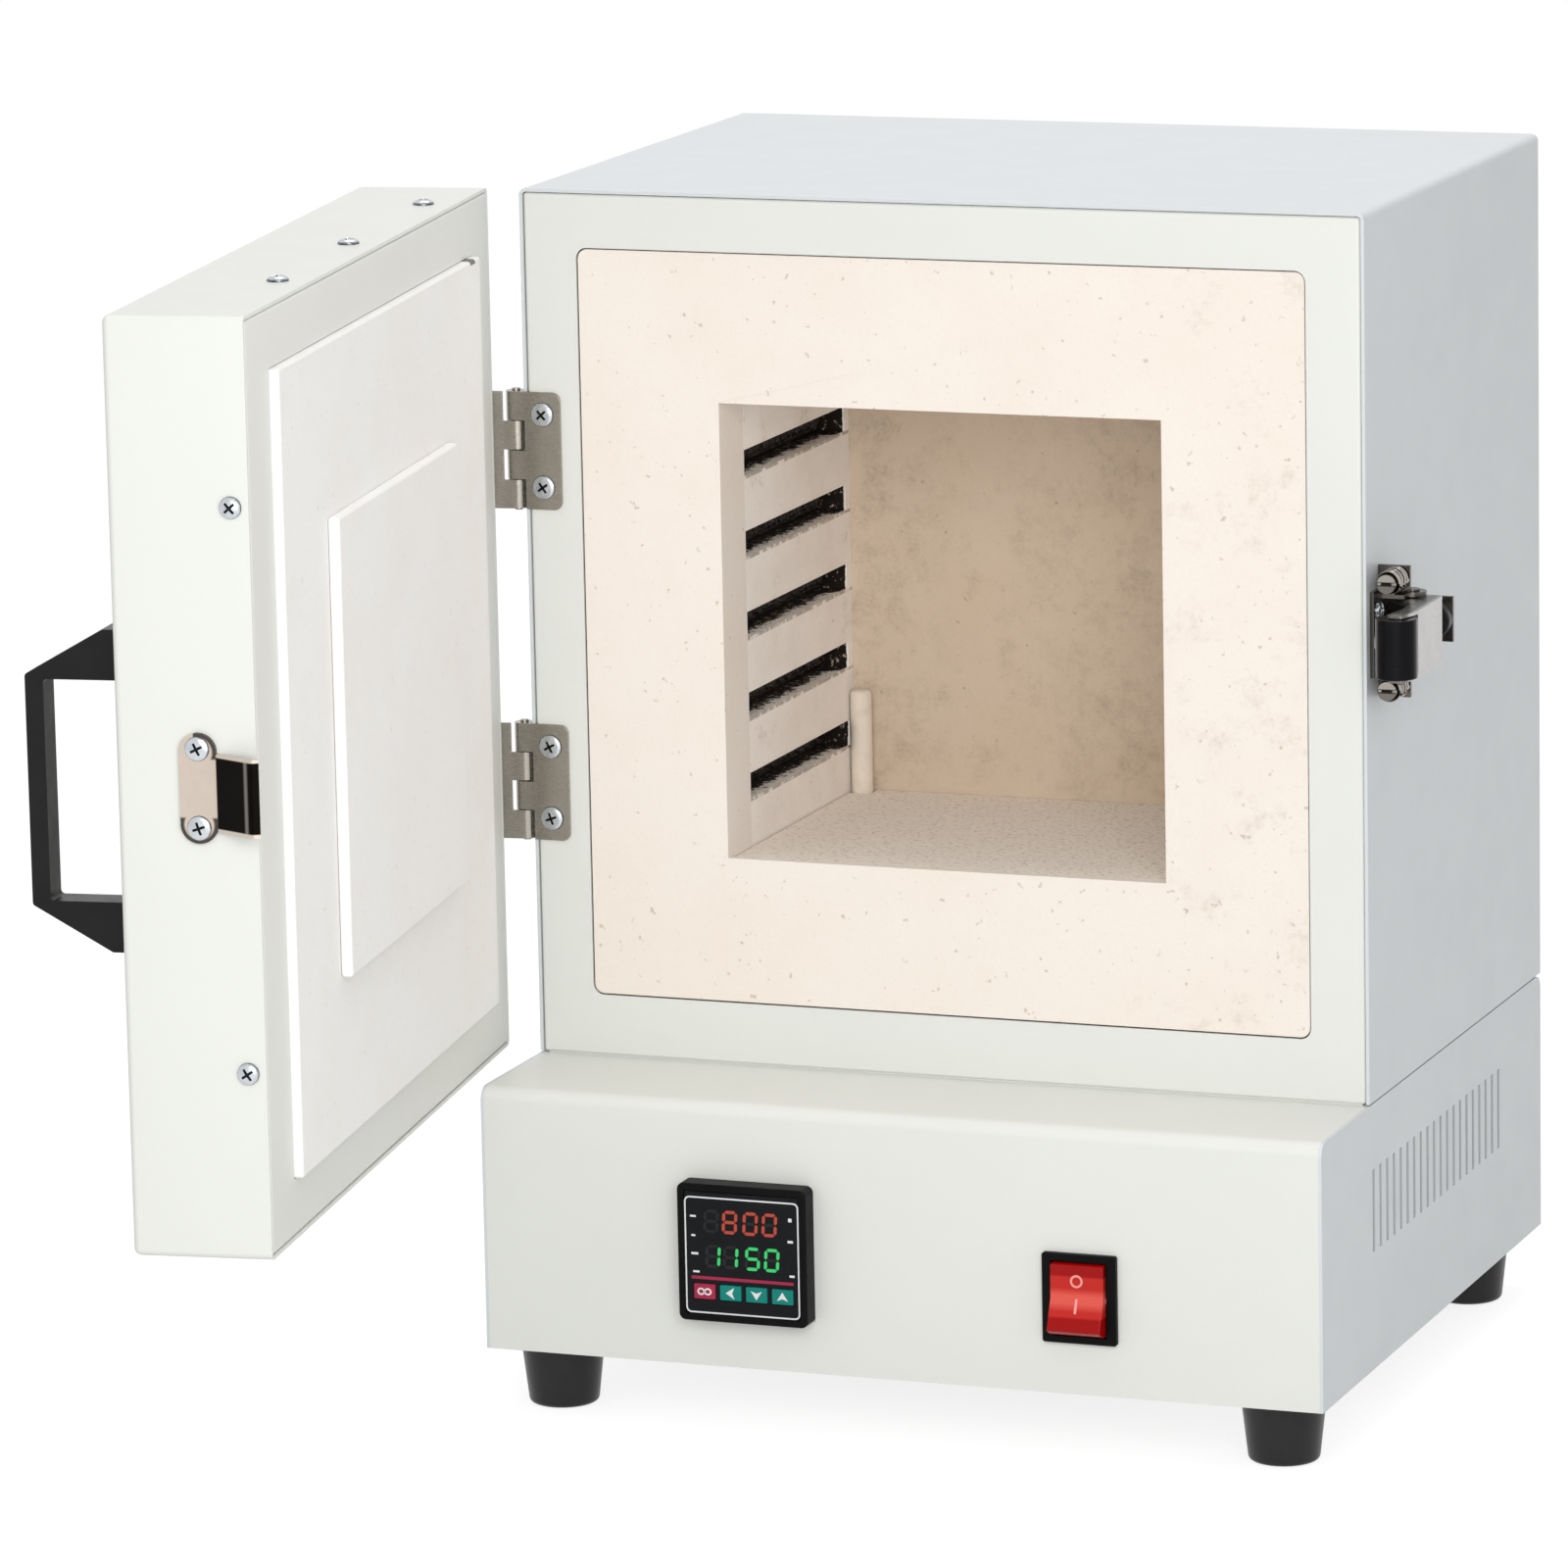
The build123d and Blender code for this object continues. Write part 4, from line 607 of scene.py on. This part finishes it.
# sheet metal, boards and plain pieces
sheetPieces = {
    "base_wrap": (paint, 0.3), "base_left_side": (shadedSidePaint, 0.3), "base_right_side": (shadedSidePaint, 0.3),
    "base_floor": (paint, 0.3), "casing_wrap": (shadedSidePaint, 0.35), "casing_front_frame": (paint, 0.25),
    "casing_back_panel": (paint, 0.25), "casing_floor": (paint, 0.0), "door_shell": (paint, 0.35),
    "door_rim": (paint, 0.25),
    "ceramic_collar": (collarBoard, 0.9), "chamber_left_wall": (wallBoard, 0.6),
    "chamber_right_wall": (wallBoard, 0.6), "chamber_roof": (wallBoard, 0.0), "chamber_back_wall": (backBoard, 0.0),
    "chamber_floor": (wallBoard, 0.0), "hearth_plate": (hearthGrit, 0.3), "thermocouple": (sheathGlaze, 0.0),
    "insulation_jacket": (blanketWool, 0.0), "insulation_back": (blanketWool, 0.0),
    "insulation_bed": (blanketWool, 0.0), "door_blanket": (blanketWool, 0.0),
    "door_step_board": (plugBoard, 1.0), "door_plug": (plugBoard, 1.2),
    "controller_case": (blackPlastic, 0.35), "controller_face": (windowPlastic, 0.0),
    "switch_frame": (blackPlastic, 0.25), "solid_state_relay": (whitePlastic, 0.5),
    "relay_heat_sink": (millAluminium, 0.2), "terminal_strip": (blackPlastic, 0.3), "cord_gland": (blackPlastic, 0.4),
    "hinge_upper_body_leaf": (nickel, 0.2), "hinge_lower_body_leaf": (nickel, 0.2),
    "hinge_upper_door_leaf": (nickel, 0.2), "hinge_lower_door_leaf": (nickel, 0.2), "hinge_pins": (nickel, 0.2),
    "catch_bracket": (catchNickelDarkReflection, 0.2), "catch_pivot": (catchNickelDarkReflection, 0.15), "catch_arm": (armNickel, 0.2),
    "catch_adjusters": (adjusterNickel, 0.2),
    "catch_buffer": (rubber, 0.5), "catch_roller": (darkSteel, 0.0), "door_strike": (strikeNickel, 0.2),
    "door_handle": (handlePlastic, 0.7), "switch_rocker": (rockerRed, 0.35),
    "key_set": (keyCrimson, 0.3), "key_shift": (keyTeal, 0.3), "key_down": (keyTeal, 0.3), "key_up": (keyTeal, 0.3),
    "foot_front_left": (rubber, 0.4), "foot_front_right": (rubber, 0.4),
    "foot_rear_left": (rubber, 0.4), "foot_rear_right": (rubber, 0.4),
}
for node, (finish, bevel) in sheetPieces.items():
    finishedNode(node, finish, bevel)
print("sheet metal and boards finished")

# screws
screwStyle = {
    "height": 2.0, "armHalf": 0.45, "armReach": 2.2, "recess": 1.25, "wall": 0.12,
    "dome": 0.42, "shank": 1.9, "widen": 1.32, "flatHeight": 1.3, "flatRecess": 0.9,
}


def screwHead(place, outward, radius, turn, style=screwStyle):
    # a pan head with a cross recess: over a disc the height is a flattened dome, less the recess along each arm;
    # the disc is a square grid (u, v) drawn in to x = u sqrt(1 - v v / 2), y = v sqrt(1 - u u / 2)
    arm, reach, wall = style["armHalf"] / radius, style["armReach"] / radius, style["wall"] / radius
    half = [0, arm - wall, arm, (arm + reach) / 2, reach - wall, reach, 0.5 * (reach + 0.86), 0.86, 0.93, 0.975, 1]
    line = np.array([-h for h in half[:0:-1]] + half)
    u, v = np.meshgrid(line, line, indexing="ij")
    x, y = u * np.sqrt(1 - v * v / 2), v * np.sqrt(1 - u * u / 2)
    rho = np.clip(np.hypot(x, y), 0, 1)
    top = style["height"] * (1 - style["dome"] * rho**2) * (1 - rho**14) ** 0.5
    near, far = np.minimum(abs(u), abs(v)), np.maximum(abs(u), abs(v))
    inCross = np.clip((arm - near) / wall, 0, 1) * np.clip((reach - far) / wall, 0, 1)
    taper = 1 - 0.55 * np.clip(far / reach, 0, 1)
    top = top - style["recess"] * inCross * taper
    axis = np.asarray(outward, float)
    axis /= np.linalg.norm(axis)
    guide = np.array([0, 0, 1.0]) if abs(axis[2]) < 0.9 else np.array([1.0, 0, 0])
    across = np.cross(guide, axis)
    across /= np.linalg.norm(across)
    up = np.cross(axis, across)
    c, s = math.cos(turn), math.sin(turn)
    across, up = c * across + s * up, c * up - s * across
    flat = np.asarray(place, float) + mm * radius * (x[..., None] * across + y[..., None] * up)
    under = (flat, gridFaces(*u.shape)[:, ::-1])
    head = joined([(flat + mm * top[..., None] * axis, gridFaces(*u.shape)), under])
    # painted shade: dark in the cross recess and round the edge of the head, and all dark underneath
    dark = np.maximum(np.clip(1.6 * inCross, 0, 1), 0.75 * (rho > 0.96))
    return head, np.concatenate([dark.ravel(), np.ones(dark.size)])


def nodeSeats(node):
    # every screw in a node, as its seat, outward direction and radius in mm: loose solids by connected triangles,
    # each along the axis of its body that it is round about, with the head at its wide end
    mesh = cadNodes[node].data
    work = bmesh.new()
    work.from_mesh(mesh)
    bmesh.ops.remove_doubles(work, verts=work.verts, dist=1e-6)
    left, seats = set(work.verts), []
    while left:
        group, edge = set(), [next(iter(left))]
        while edge:
            vert = edge.pop()
            if vert in group:
                continue
            group.add(vert)
            edge += [e.other_vert(vert) for e in vert.link_edges]
        left -= group
        seats.append(np.array([v.co for v in group]))
    work.free()
    turn = doorTurn if cadNodes[node]["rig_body"] == "door" else 0.0
    axes = np.array([[math.cos(turn), math.sin(turn), 0], [-math.sin(turn), math.cos(turn), 0], [0, 0, 1]])
    found = []
    for points in seats:
        places = points @ axes.T
        extent = np.ptp(places, axis=0)
        k = np.argmin([abs(extent[1] - extent[2]), abs(extent[2] - extent[0]), abs(extent[0] - extent[1])])
        middle = (places.max(0) + places.min(0)) / 2
        along = places[:, k]
        off = np.linalg.norm(np.delete(places - middle, k, axis=1), axis=1)
        wide = off > off.max() - 2e-5
        side = 1 if along[wide].mean() > along[~wide].mean() else -1
        middle[k] = side * (side * along[wide]).min()
        found.append((middle @ axes, side * axes[k], off.max() * 1000))
    return sorted(found, key=lambda seat: tuple(np.round(seat[0], 4)))


def screwSet(node):
    # the hinge and strike screws have broad, low heads
    broad = {**screwStyle, "height": screwStyle["flatHeight"], "recess": screwStyle["flatRecess"]}
    pieces, shades = [], []
    for n, (seat, outward, radius) in enumerate(nodeSeats(node)):
        isBroad = 3.2 < radius < 3.4 or (node == "door_screws" and radius < 3.2)
        wide, style = (screwStyle["widen"], broad) if isBroad else (1.0, screwStyle)
        head, dark = screwHead(seat, outward, wide * radius, 0.35 + 1.7 * n, style)
        shank = [(0, 0), (screwStyle["shank"] * mm, 0), (screwStyle["shank"] * mm, -4.5 * mm), (0, -5.5 * mm)]
        pieces += [head, turned(shank[::-1], seat, outward, 16)]
        shades += [dark, np.zeros(64)]
    body = cadNodes[node]["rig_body"]
    shade = np.concatenate(shades)
    piece = putPiece(node + "Heads", joined(pieces), body, zinc, weld=1e-6, crease=50, shade=shade)
    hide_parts(node)


for node in ("door_screws", "casing_screws", "foot_screws"):
    screwSet(node)
print("screws cut")

# heater coils


def heaterCoils(node, seed):
    # in each slot a helix along Y: (r cos a, y, r sin a), its radius, phase and centre wandering a little;
    # the ends of two coils lead out
    rng = np.random.default_rng(seed)
    mesh = cadNodes[node].data
    points = np.array([v.co for v in mesh.vertices])
    low, high = points.min(0), points.max(0)
    radius, middleX = (high[0] - low[0]) / 2, (low[0] + high[0]) / 2
    levels = np.unique(np.round(points[:, 2], 5))
    gaps = np.nonzero(np.diff(levels) > 0.012)[0]
    tops = levels[np.append(gaps, len(levels) - 1)]
    pieces = []
    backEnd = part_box("chamber_left_wall")[1].y - (coilStyle["endGap"] + coilStyle["slotEnd"]) * mm
    for n, top in enumerate(tops):
        length = backEnd - low[1]
        turns = length / (coilStyle["pitch"] * mm)
        t = np.linspace(0, 1, int(turns * coilStyle["steps"]))
        waves = np.sin(2 * np.pi * (t[:, None] * rng.uniform(2, 9, 4) + rng.uniform(0, 1, 4))).sum(1)
        sway = coilStyle["wander"] * mm * waves / 2
        a = 2 * np.pi * turns * t + 1.1 * np.sin(2 * np.pi * t * rng.uniform(3, 6) + rng.uniform(0, 6))
        r = radius - coilStyle["wire"] * mm - abs(sway)
        x, y = middleX + r * np.cos(a), low[1] + 0.0008 + (length - 0.0016) * t
        path = np.stack([x, y, top - radius + r * np.sin(a) - abs(sway) * 0.5], -1)
        pieces.append(tube(path, coilStyle["wire"] * mm, coilStyle["sides"]))
        if n in (0, len(tops) - 1):
            leadY = np.linspace(backEnd - 0.002, high[1], 12)
            lead = np.stack([np.full(12, middleX), leadY, np.full(12, top - radius)], -1)
            pieces.append(tube(lead, coilStyle["lead"] * mm, 10))
    piece = putPiece(node + "Wire", joined(pieces), "cabinet", coilScale, weld=1e-7, crease=60)
    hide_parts(node)


heaterCoils("heater_coils_left", 3)
heaterCoils("heater_coils_right", 8)
print("coils wound")

# catch springs
springStyle = {"wire": 0.55, "turns": 5.0, "steps": 24, "sides": 8}


def catchSprings():
    # two helices along Y: (R cos a, y, R sin a), where y eases in and out so that the end turns lie close together
    low, high = (np.array(v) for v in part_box("catch_springs"))
    wire = springStyle["wire"] * mm
    radius = (high[0] - low[0]) / 2
    t = np.linspace(0, 1, int(springStyle["turns"] * springStyle["steps"]))
    a = 2 * np.pi * springStyle["turns"] * t
    y = low[1] + wire + (high[1] - low[1] - 2 * wire) * (t - 0.09 * np.sin(2 * np.pi * t))
    pieces, shades = [], []
    for z in (low[2] + radius, high[2] - radius):
        path = np.stack([low[0] + radius + (radius - wire) * np.cos(a), y, z + (radius - wire) * np.sin(a)], -1)
        turns = tube(path, wire, springStyle["sides"])
        around = np.asarray(turns[0]).reshape(-1, 3)
        # painted shade: darker towards the spring's axis, on the inside and flanks of each turn
        inward = (radius - np.hypot(around[:, 0] - low[0] - radius, around[:, 2] - z)) / wire
        pieces.append(turns)
        shades.append(np.clip(1.5 * inward - 0.15, 0, 1))
    wound, shade = joined(pieces), np.concatenate(shades)
    piece = putPiece("catchSpringWire", wound, "cabinet", springWire, weld=1e-7, crease=60, shade=shade)
    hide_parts("catch_springs")


catchSprings()
print("catch sprung")

# controller face
display = {
    "left": 2.7, "low": 2.9, "width": 42.6, "height": 42.0, "frameLine": 0.55, "corner": 2.0,
    "digitWidth": 5.0, "digitHeight": 8.1, "stroke": 1.15, "slant": 0.06,
    "redPlaces": (0.235, 0.397, 0.577, 0.745), "redRow": 0.205, "redText": " 800",
    "greenPlaces": (0.245, 0.40, 0.592, 0.76), "greenRow": 0.505, "greenText": "1150",
    "lineRow": 0.695, "lineHeight": 1.1,
}
segments = {
    "0": "abcdef", "1": "bc", "5": "afgcd", "8": "abcdefg", " ": "",
}
rockerStyle = {"ringRise": 7.0, "barDrop": 1.6}
faceFront = faceLow[1]
layer = 0.06 * mm


def facePoint(u, v, lift=0.0):
    # a place on the face plate from its share across and down
    x = caseLow[0] + mm * (display["left"] + u * display["width"])
    z = caseLow[2] + mm * (display["low"] + (1 - v) * display["height"])
    return np.array([x, faceFront - lift, z])


def digitStrokes(text, places, row):
    # seven strokes on a slanted grid: each a bar with pointed ends, drawn as a closed outline of six corners
    w, h, t = display["digitWidth"] / 2, display["digitHeight"] / 2, display["stroke"] / 2
    strokes = {
        "a": ((-w, h), (w, h)), "b": ((w, h), (w, 0)), "c": ((w, 0), (w, -h)), "d": ((-w, -h), (w, -h)),
        "e": ((-w, 0), (-w, -h)), "f": ((-w, h), (-w, 0)), "g": ((-w, 0), (w, 0)),
    }
    lit, dark = [], []
    for mark, u in zip(text, places):
        for key, (p, q) in strokes.items():
            p, q = np.array(p) * 0.9, np.array(q) * 0.9
            d = (q - p) / np.linalg.norm(q - p)
            n = np.array([-d[1], d[0]])
            a, b = p + d * t * 0.35, q - d * t * 0.35
            outline = np.array([a, a + (d - n) * t, b - (d + n) * t, b, b - (d - n) * t, a + (d + n) * t])
            outline[:, 0] += display["slant"] * outline[:, 1]
            surface = slab(outline * mm, facePoint(u, row, layer), (1, 0, 0), (0, 0, 1), layer)
            (lit if key in segments[mark] else dark).append(surface)
    return lit, dark


def roundedOutline(width, height, corner, count=8):
    # corner arcs of a rectangle about its middle, run anticlockwise
    a = np.linspace(0, np.pi / 2, count)
    arcs = []
    for k, (sx, sy) in enumerate(((1, 1), (-1, 1), (-1, -1), (1, -1))):
        b = a + k * np.pi / 2
        x, y = sx * (width / 2 - corner) + corner * np.cos(b), sy * (height / 2 - corner) + corner * np.sin(b)
        arcs.append(np.stack([x, y], -1))
    return np.concatenate(arcs)


def ringSlab(outer, inner, place, u, v, thickness):
    # a flat ring between two outlines of the same count, with a thickness along u x v
    u, v = np.asarray(u, float), np.asarray(v, float)
    normal = np.cross(u, v)
    place = np.asarray(place, float)
    rims = [place + o[:, :1] * u + o[:, 1:] * v for o in (inner, outer)]
    rows = np.stack([rims[0], rims[1], rims[1] + thickness * normal, rims[0] + thickness * normal])
    return rows, gridFaces(4, len(outer), loopRows=True, loopColumns=True)


redLit, redDark = digitStrokes(display["redText"], display["redPlaces"], display["redRow"])
greenLit, greenDark = digitStrokes(display["greenText"], display["greenPlaces"], display["greenRow"])
putPiece("redDigits", joined(redLit), "cabinet", redSegment, weld=1e-7)
putPiece("greenDigits", joined(greenLit), "cabinet", greenSegment, weld=1e-7)
putPiece("unlitDigits", joined(redDark + greenDark), "cabinet", unlitSegment, weld=1e-7)

width, height, corner, frameLine = (display[k] for k in ("width", "height", "corner", "frameLine"))
outer = roundedOutline(width, height, corner) * mm
inner = roundedOutline(width - 2 * frameLine, height - 2 * frameLine, corner - frameLine) * mm
frameRing = ringSlab(outer, inner, facePoint(0.5, 0.5, 0), (1, 0, 0), (0, 0, 1), layer)
putPiece("faceOutline", frameRing, "cabinet", legendInk, weld=1e-7)


def faceBar(u, v, width, height):
    # a printed bar in mm about a place on the face
    c = facePoint(u, v)
    halfX, halfZ = width * mm / 2, height * mm / 2
    return bar((c[0] - halfX, faceFront - layer, c[2] - halfZ), (c[0] + halfX, faceFront + layer, c[2] + halfZ))


faceLine = faceBar(0.5, display["lineRow"], 0.894 * display["width"], display["lineHeight"])
putPiece("faceLine", faceLine, "cabinet", keyCrimson, weld=1e-7)
markPlaces = (
    (0.075, 0.17, 2.2, 0.7), (0.075, 0.335, 1.5, 0.7), (0.085, 0.49, 2.6, 0.8), (0.095, 0.645, 2.4, 0.7),
    (0.925, 0.15, 1.3, 1.3), (0.925, 0.335, 2.0, 0.9), (0.935, 0.63, 1.9, 0.8),
)
faceMarks = joined([faceBar(*mark) for mark in markPlaces])
putPiece("faceMarks", faceMarks, "cabinet", legendInk, weld=1e-7)


def keyCentre(node):
    # the middle of a key's front face
    low, high = (np.array(v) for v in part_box(node))
    return np.array([(low[0] + high[0]) / 2, low[1], (low[2] + high[2]) / 2])


for node, turn in (("key_shift", 90), ("key_down", 180), ("key_up", 0)):
    arrow = np.array([(0, 1.75), (-2.1, -1.45), (0, -0.65), (2.1, -1.45)])
    a = math.radians(turn)
    arrow = arrow @ np.array([[math.cos(a), math.sin(a)], [-math.sin(a), math.cos(a)]])
    arrowhead = slab(arrow[::-1] * mm, keyCentre(node), (1, 0, 0), (0, 0, 1), layer)
    putPiece(node + "Arrow", arrowhead, node, legendInk, weld=1e-7)
loops = []
for shift in (-1.25, 1.25):
    a = np.linspace(0, 2 * np.pi, 24, endpoint=False)
    big, small = (np.stack([r * np.cos(a) * 1.1 + shift, r * np.sin(a)], -1) * mm for r in (1.3, 0.75))
    loops.append(ringSlab(big, small, keyCentre("key_set"), (1, 0, 0), (0, 0, 1), layer))
putPiece("keySetLoops", joined(loops), "key_set", legendInk, weld=1e-7)


def rockerMarks():
    # the ring and bar of the switch, laid on the rocker's own front:
    # each point's depth is read off the solid by a ray along Y
    mesh = cadNodes["switch_rocker"].data
    solid = BVHTree.FromPolygons([v.co for v in mesh.vertices], [f.vertices[:] for f in mesh.polygons])
    low, high = (np.array(v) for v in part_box("switch_rocker"))
    middle = (low + high) / 2
    a = np.linspace(0, 2 * np.pi, 32, endpoint=False)
    circle = np.stack([np.cos(a), np.sin(a)], -1)
    corner = np.stack([np.clip(1.6 * np.cos(a), -1, 1) * 0.45, np.clip(1.6 * np.sin(a), -1, 1) * 2.4], -1)
    marks = (
        (circle * 2.3, circle * 1.55, rockerStyle["ringRise"]),
        (corner, corner * 0.02, -rockerStyle["barDrop"]),
    )
    pieces = []
    for outer, inner, rise in marks:
        rims = []
        for outline in (inner, outer):
            x, z = middle[0] + outline[:, 0] * mm, middle[2] + (rise + outline[:, 1]) * mm
            hits = [solid.ray_cast((p, low[1] - 0.01, q), (0, 1, 0))[0].y for p, q in zip(x, z)]
            rims.append(np.stack([x, np.array(hits), z], -1))
        lift = np.array([0, layer, 0])
        rows = np.stack([rims[0] + lift, rims[0] - lift, rims[1] - lift, rims[1] + lift])
        pieces.append((rows, gridFaces(4, len(a), loopRows=True, loopColumns=True)))
    putPiece("rockerMarks", joined(pieces), "switch_rocker", rockerInk, weld=1e-7)


rockerMarks()
print("controller lettered")

# camera, lights and floor
camera = {
    "place": (1.0203, -2.9351, 0.8345), "azimuth": 20.722, "elevation": 11.365, "roll": -1.142, "lens": 202.59,
}
az, el, roll = (math.radians(camera[k]) for k in ("azimuth", "elevation", "roll"))
back = Vector((math.sin(az) * math.cos(el), -math.cos(az) * math.cos(el), math.sin(el)))
right = (-back).cross(Vector((0, 0, 1))).normalized()
up = right.cross(-back)
turnedRight = math.cos(roll) * right + math.sin(roll) * up
turnedUp = -math.sin(roll) * right + math.cos(roll) * up
lensData = bpy.data.cameras.new("camera")
lensData.sensor_width = 36
lensData.lens = camera["lens"]
lensData.clip_end = 50
cameraObject = bpy.data.objects.new("camera", lensData)
bpy.context.scene.collection.objects.link(cameraObject)
turnedAxes = Matrix((turnedRight, turnedUp, back)).transposed().to_4x4()
cameraObject.matrix_world = Matrix.Translation(camera["place"]) @ turnedAxes
bpy.context.scene.camera = cameraObject

lamps = {
    "front": {"place": (0.45, -1.3, 0.6), "aim": (-0.05, -0.1, 0.25), "size": (0.9, 0.8), "power": 9.3},
    "top": {"place": (-0.05, 0.15, 1.7), "aim": (-0.05, 0.1, 0.3), "size": (1.0, 0.8), "power": 7.6},
}
for name, lamp in lamps.items():
    data = bpy.data.lights.new(name + "Lamp", "AREA")
    data.shape = "RECTANGLE"
    data.size, data.size_y = lamp["size"]
    data.energy = lamp["power"]
    thing = bpy.data.objects.new(name + "Lamp", data)
    bpy.context.scene.collection.objects.link(thing)
    aim = Vector(lamp["aim"]) - Vector(lamp["place"])
    thing.matrix_world = Matrix.Translation(lamp["place"]) @ aim.to_track_quat("-Z", "Y").to_matrix().to_4x4()


def seenWhite(tree, own, white, target):
    # white where the camera, a mirror or glass sees it, and its own shading for everything else
    rays = tree.nodes.new("ShaderNodeLightPath")
    seen = rays.outputs["Is Camera Ray"]
    for name in ("Is Glossy Ray", "Is Transmission Ray"):
        either = tree.nodes.new("ShaderNodeMath")
        either.operation = "MAXIMUM"
        tree.links.new(seen, either.inputs[0])
        tree.links.new(rays.outputs[name], either.inputs[1])
        seen = either.outputs[0]
    mix = tree.nodes.new("ShaderNodeMixShader")
    for k, source in enumerate((seen, own.outputs[0], white.outputs[0])):
        tree.links.new(source, mix.inputs[k])
    tree.links.new(mix.outputs[0], target)


def painted(tree, kind, level, socket="Color"):
    # a plain shader of one grey; light-giving ones take the level as their strength
    made = tree.nodes.new(kind)
    made.inputs[socket].default_value = (level, level, level, 1) if socket == "Color" else level
    return made


studio = {
    "worldLight": 0.6, "floorColour": 0.68, "floorWhite": 0.82, "floorShadow": 0.32,
    "floorHalf": 1.8, "floorDrop": 0.0003,
}
world = bpy.data.worlds.new("studio")
bpy.context.scene.world = world
world.use_nodes = True
sky = world.node_tree.nodes["Background"]
sky.inputs["Color"].default_value = (1, 1, 1, 1)
sky.inputs["Strength"].default_value = studio["worldLight"]
backdrop = painted(world.node_tree, "ShaderNodeBackground", 1.0)
seenWhite(world.node_tree, sky, backdrop, world.node_tree.nodes["World Output"].inputs["Surface"])

# the floor is pale, looks white in the open and keeps a faint shadow under the furnace
half, floorZ = studio["floorHalf"], -studio["floorDrop"]
floorMesh = bpy.data.meshes.new("floor")
corners = [(x * half, y * half, floorZ) for x, y in ((-1, -1), (1, -1), (1, 1), (-1, 1))]
floorMesh.from_pydata(corners, [], [(0, 1, 2, 3)])
floor = bpy.data.objects.new("floor", floorMesh)
bpy.context.scene.collection.objects.link(floor)
floorPaint = bpy.data.materials.new("floorPaint")
floorPaint.use_nodes = True
floorTree = floorPaint.node_tree
floorTree.nodes.remove(floorTree.nodes["Principled BSDF"])
own = painted(floorTree, "ShaderNodeBsdfDiffuse", studio["floorColour"])
bright = painted(floorTree, "ShaderNodeEmission", studio["floorWhite"], "Strength")
shadowed = painted(floorTree, "ShaderNodeBsdfDiffuse", studio["floorShadow"])
white = floorTree.nodes.new("ShaderNodeAddShader")
floorTree.links.new(bright.outputs[0], white.inputs[0])
floorTree.links.new(shadowed.outputs[0], white.inputs[1])
seenWhite(floorTree, own, white, floorTree.nodes["Material Output"].inputs["Surface"])
floorMesh.materials.append(floorPaint)

bpy.context.scene.view_settings.view_transform = "Standard"
print("scene ready")
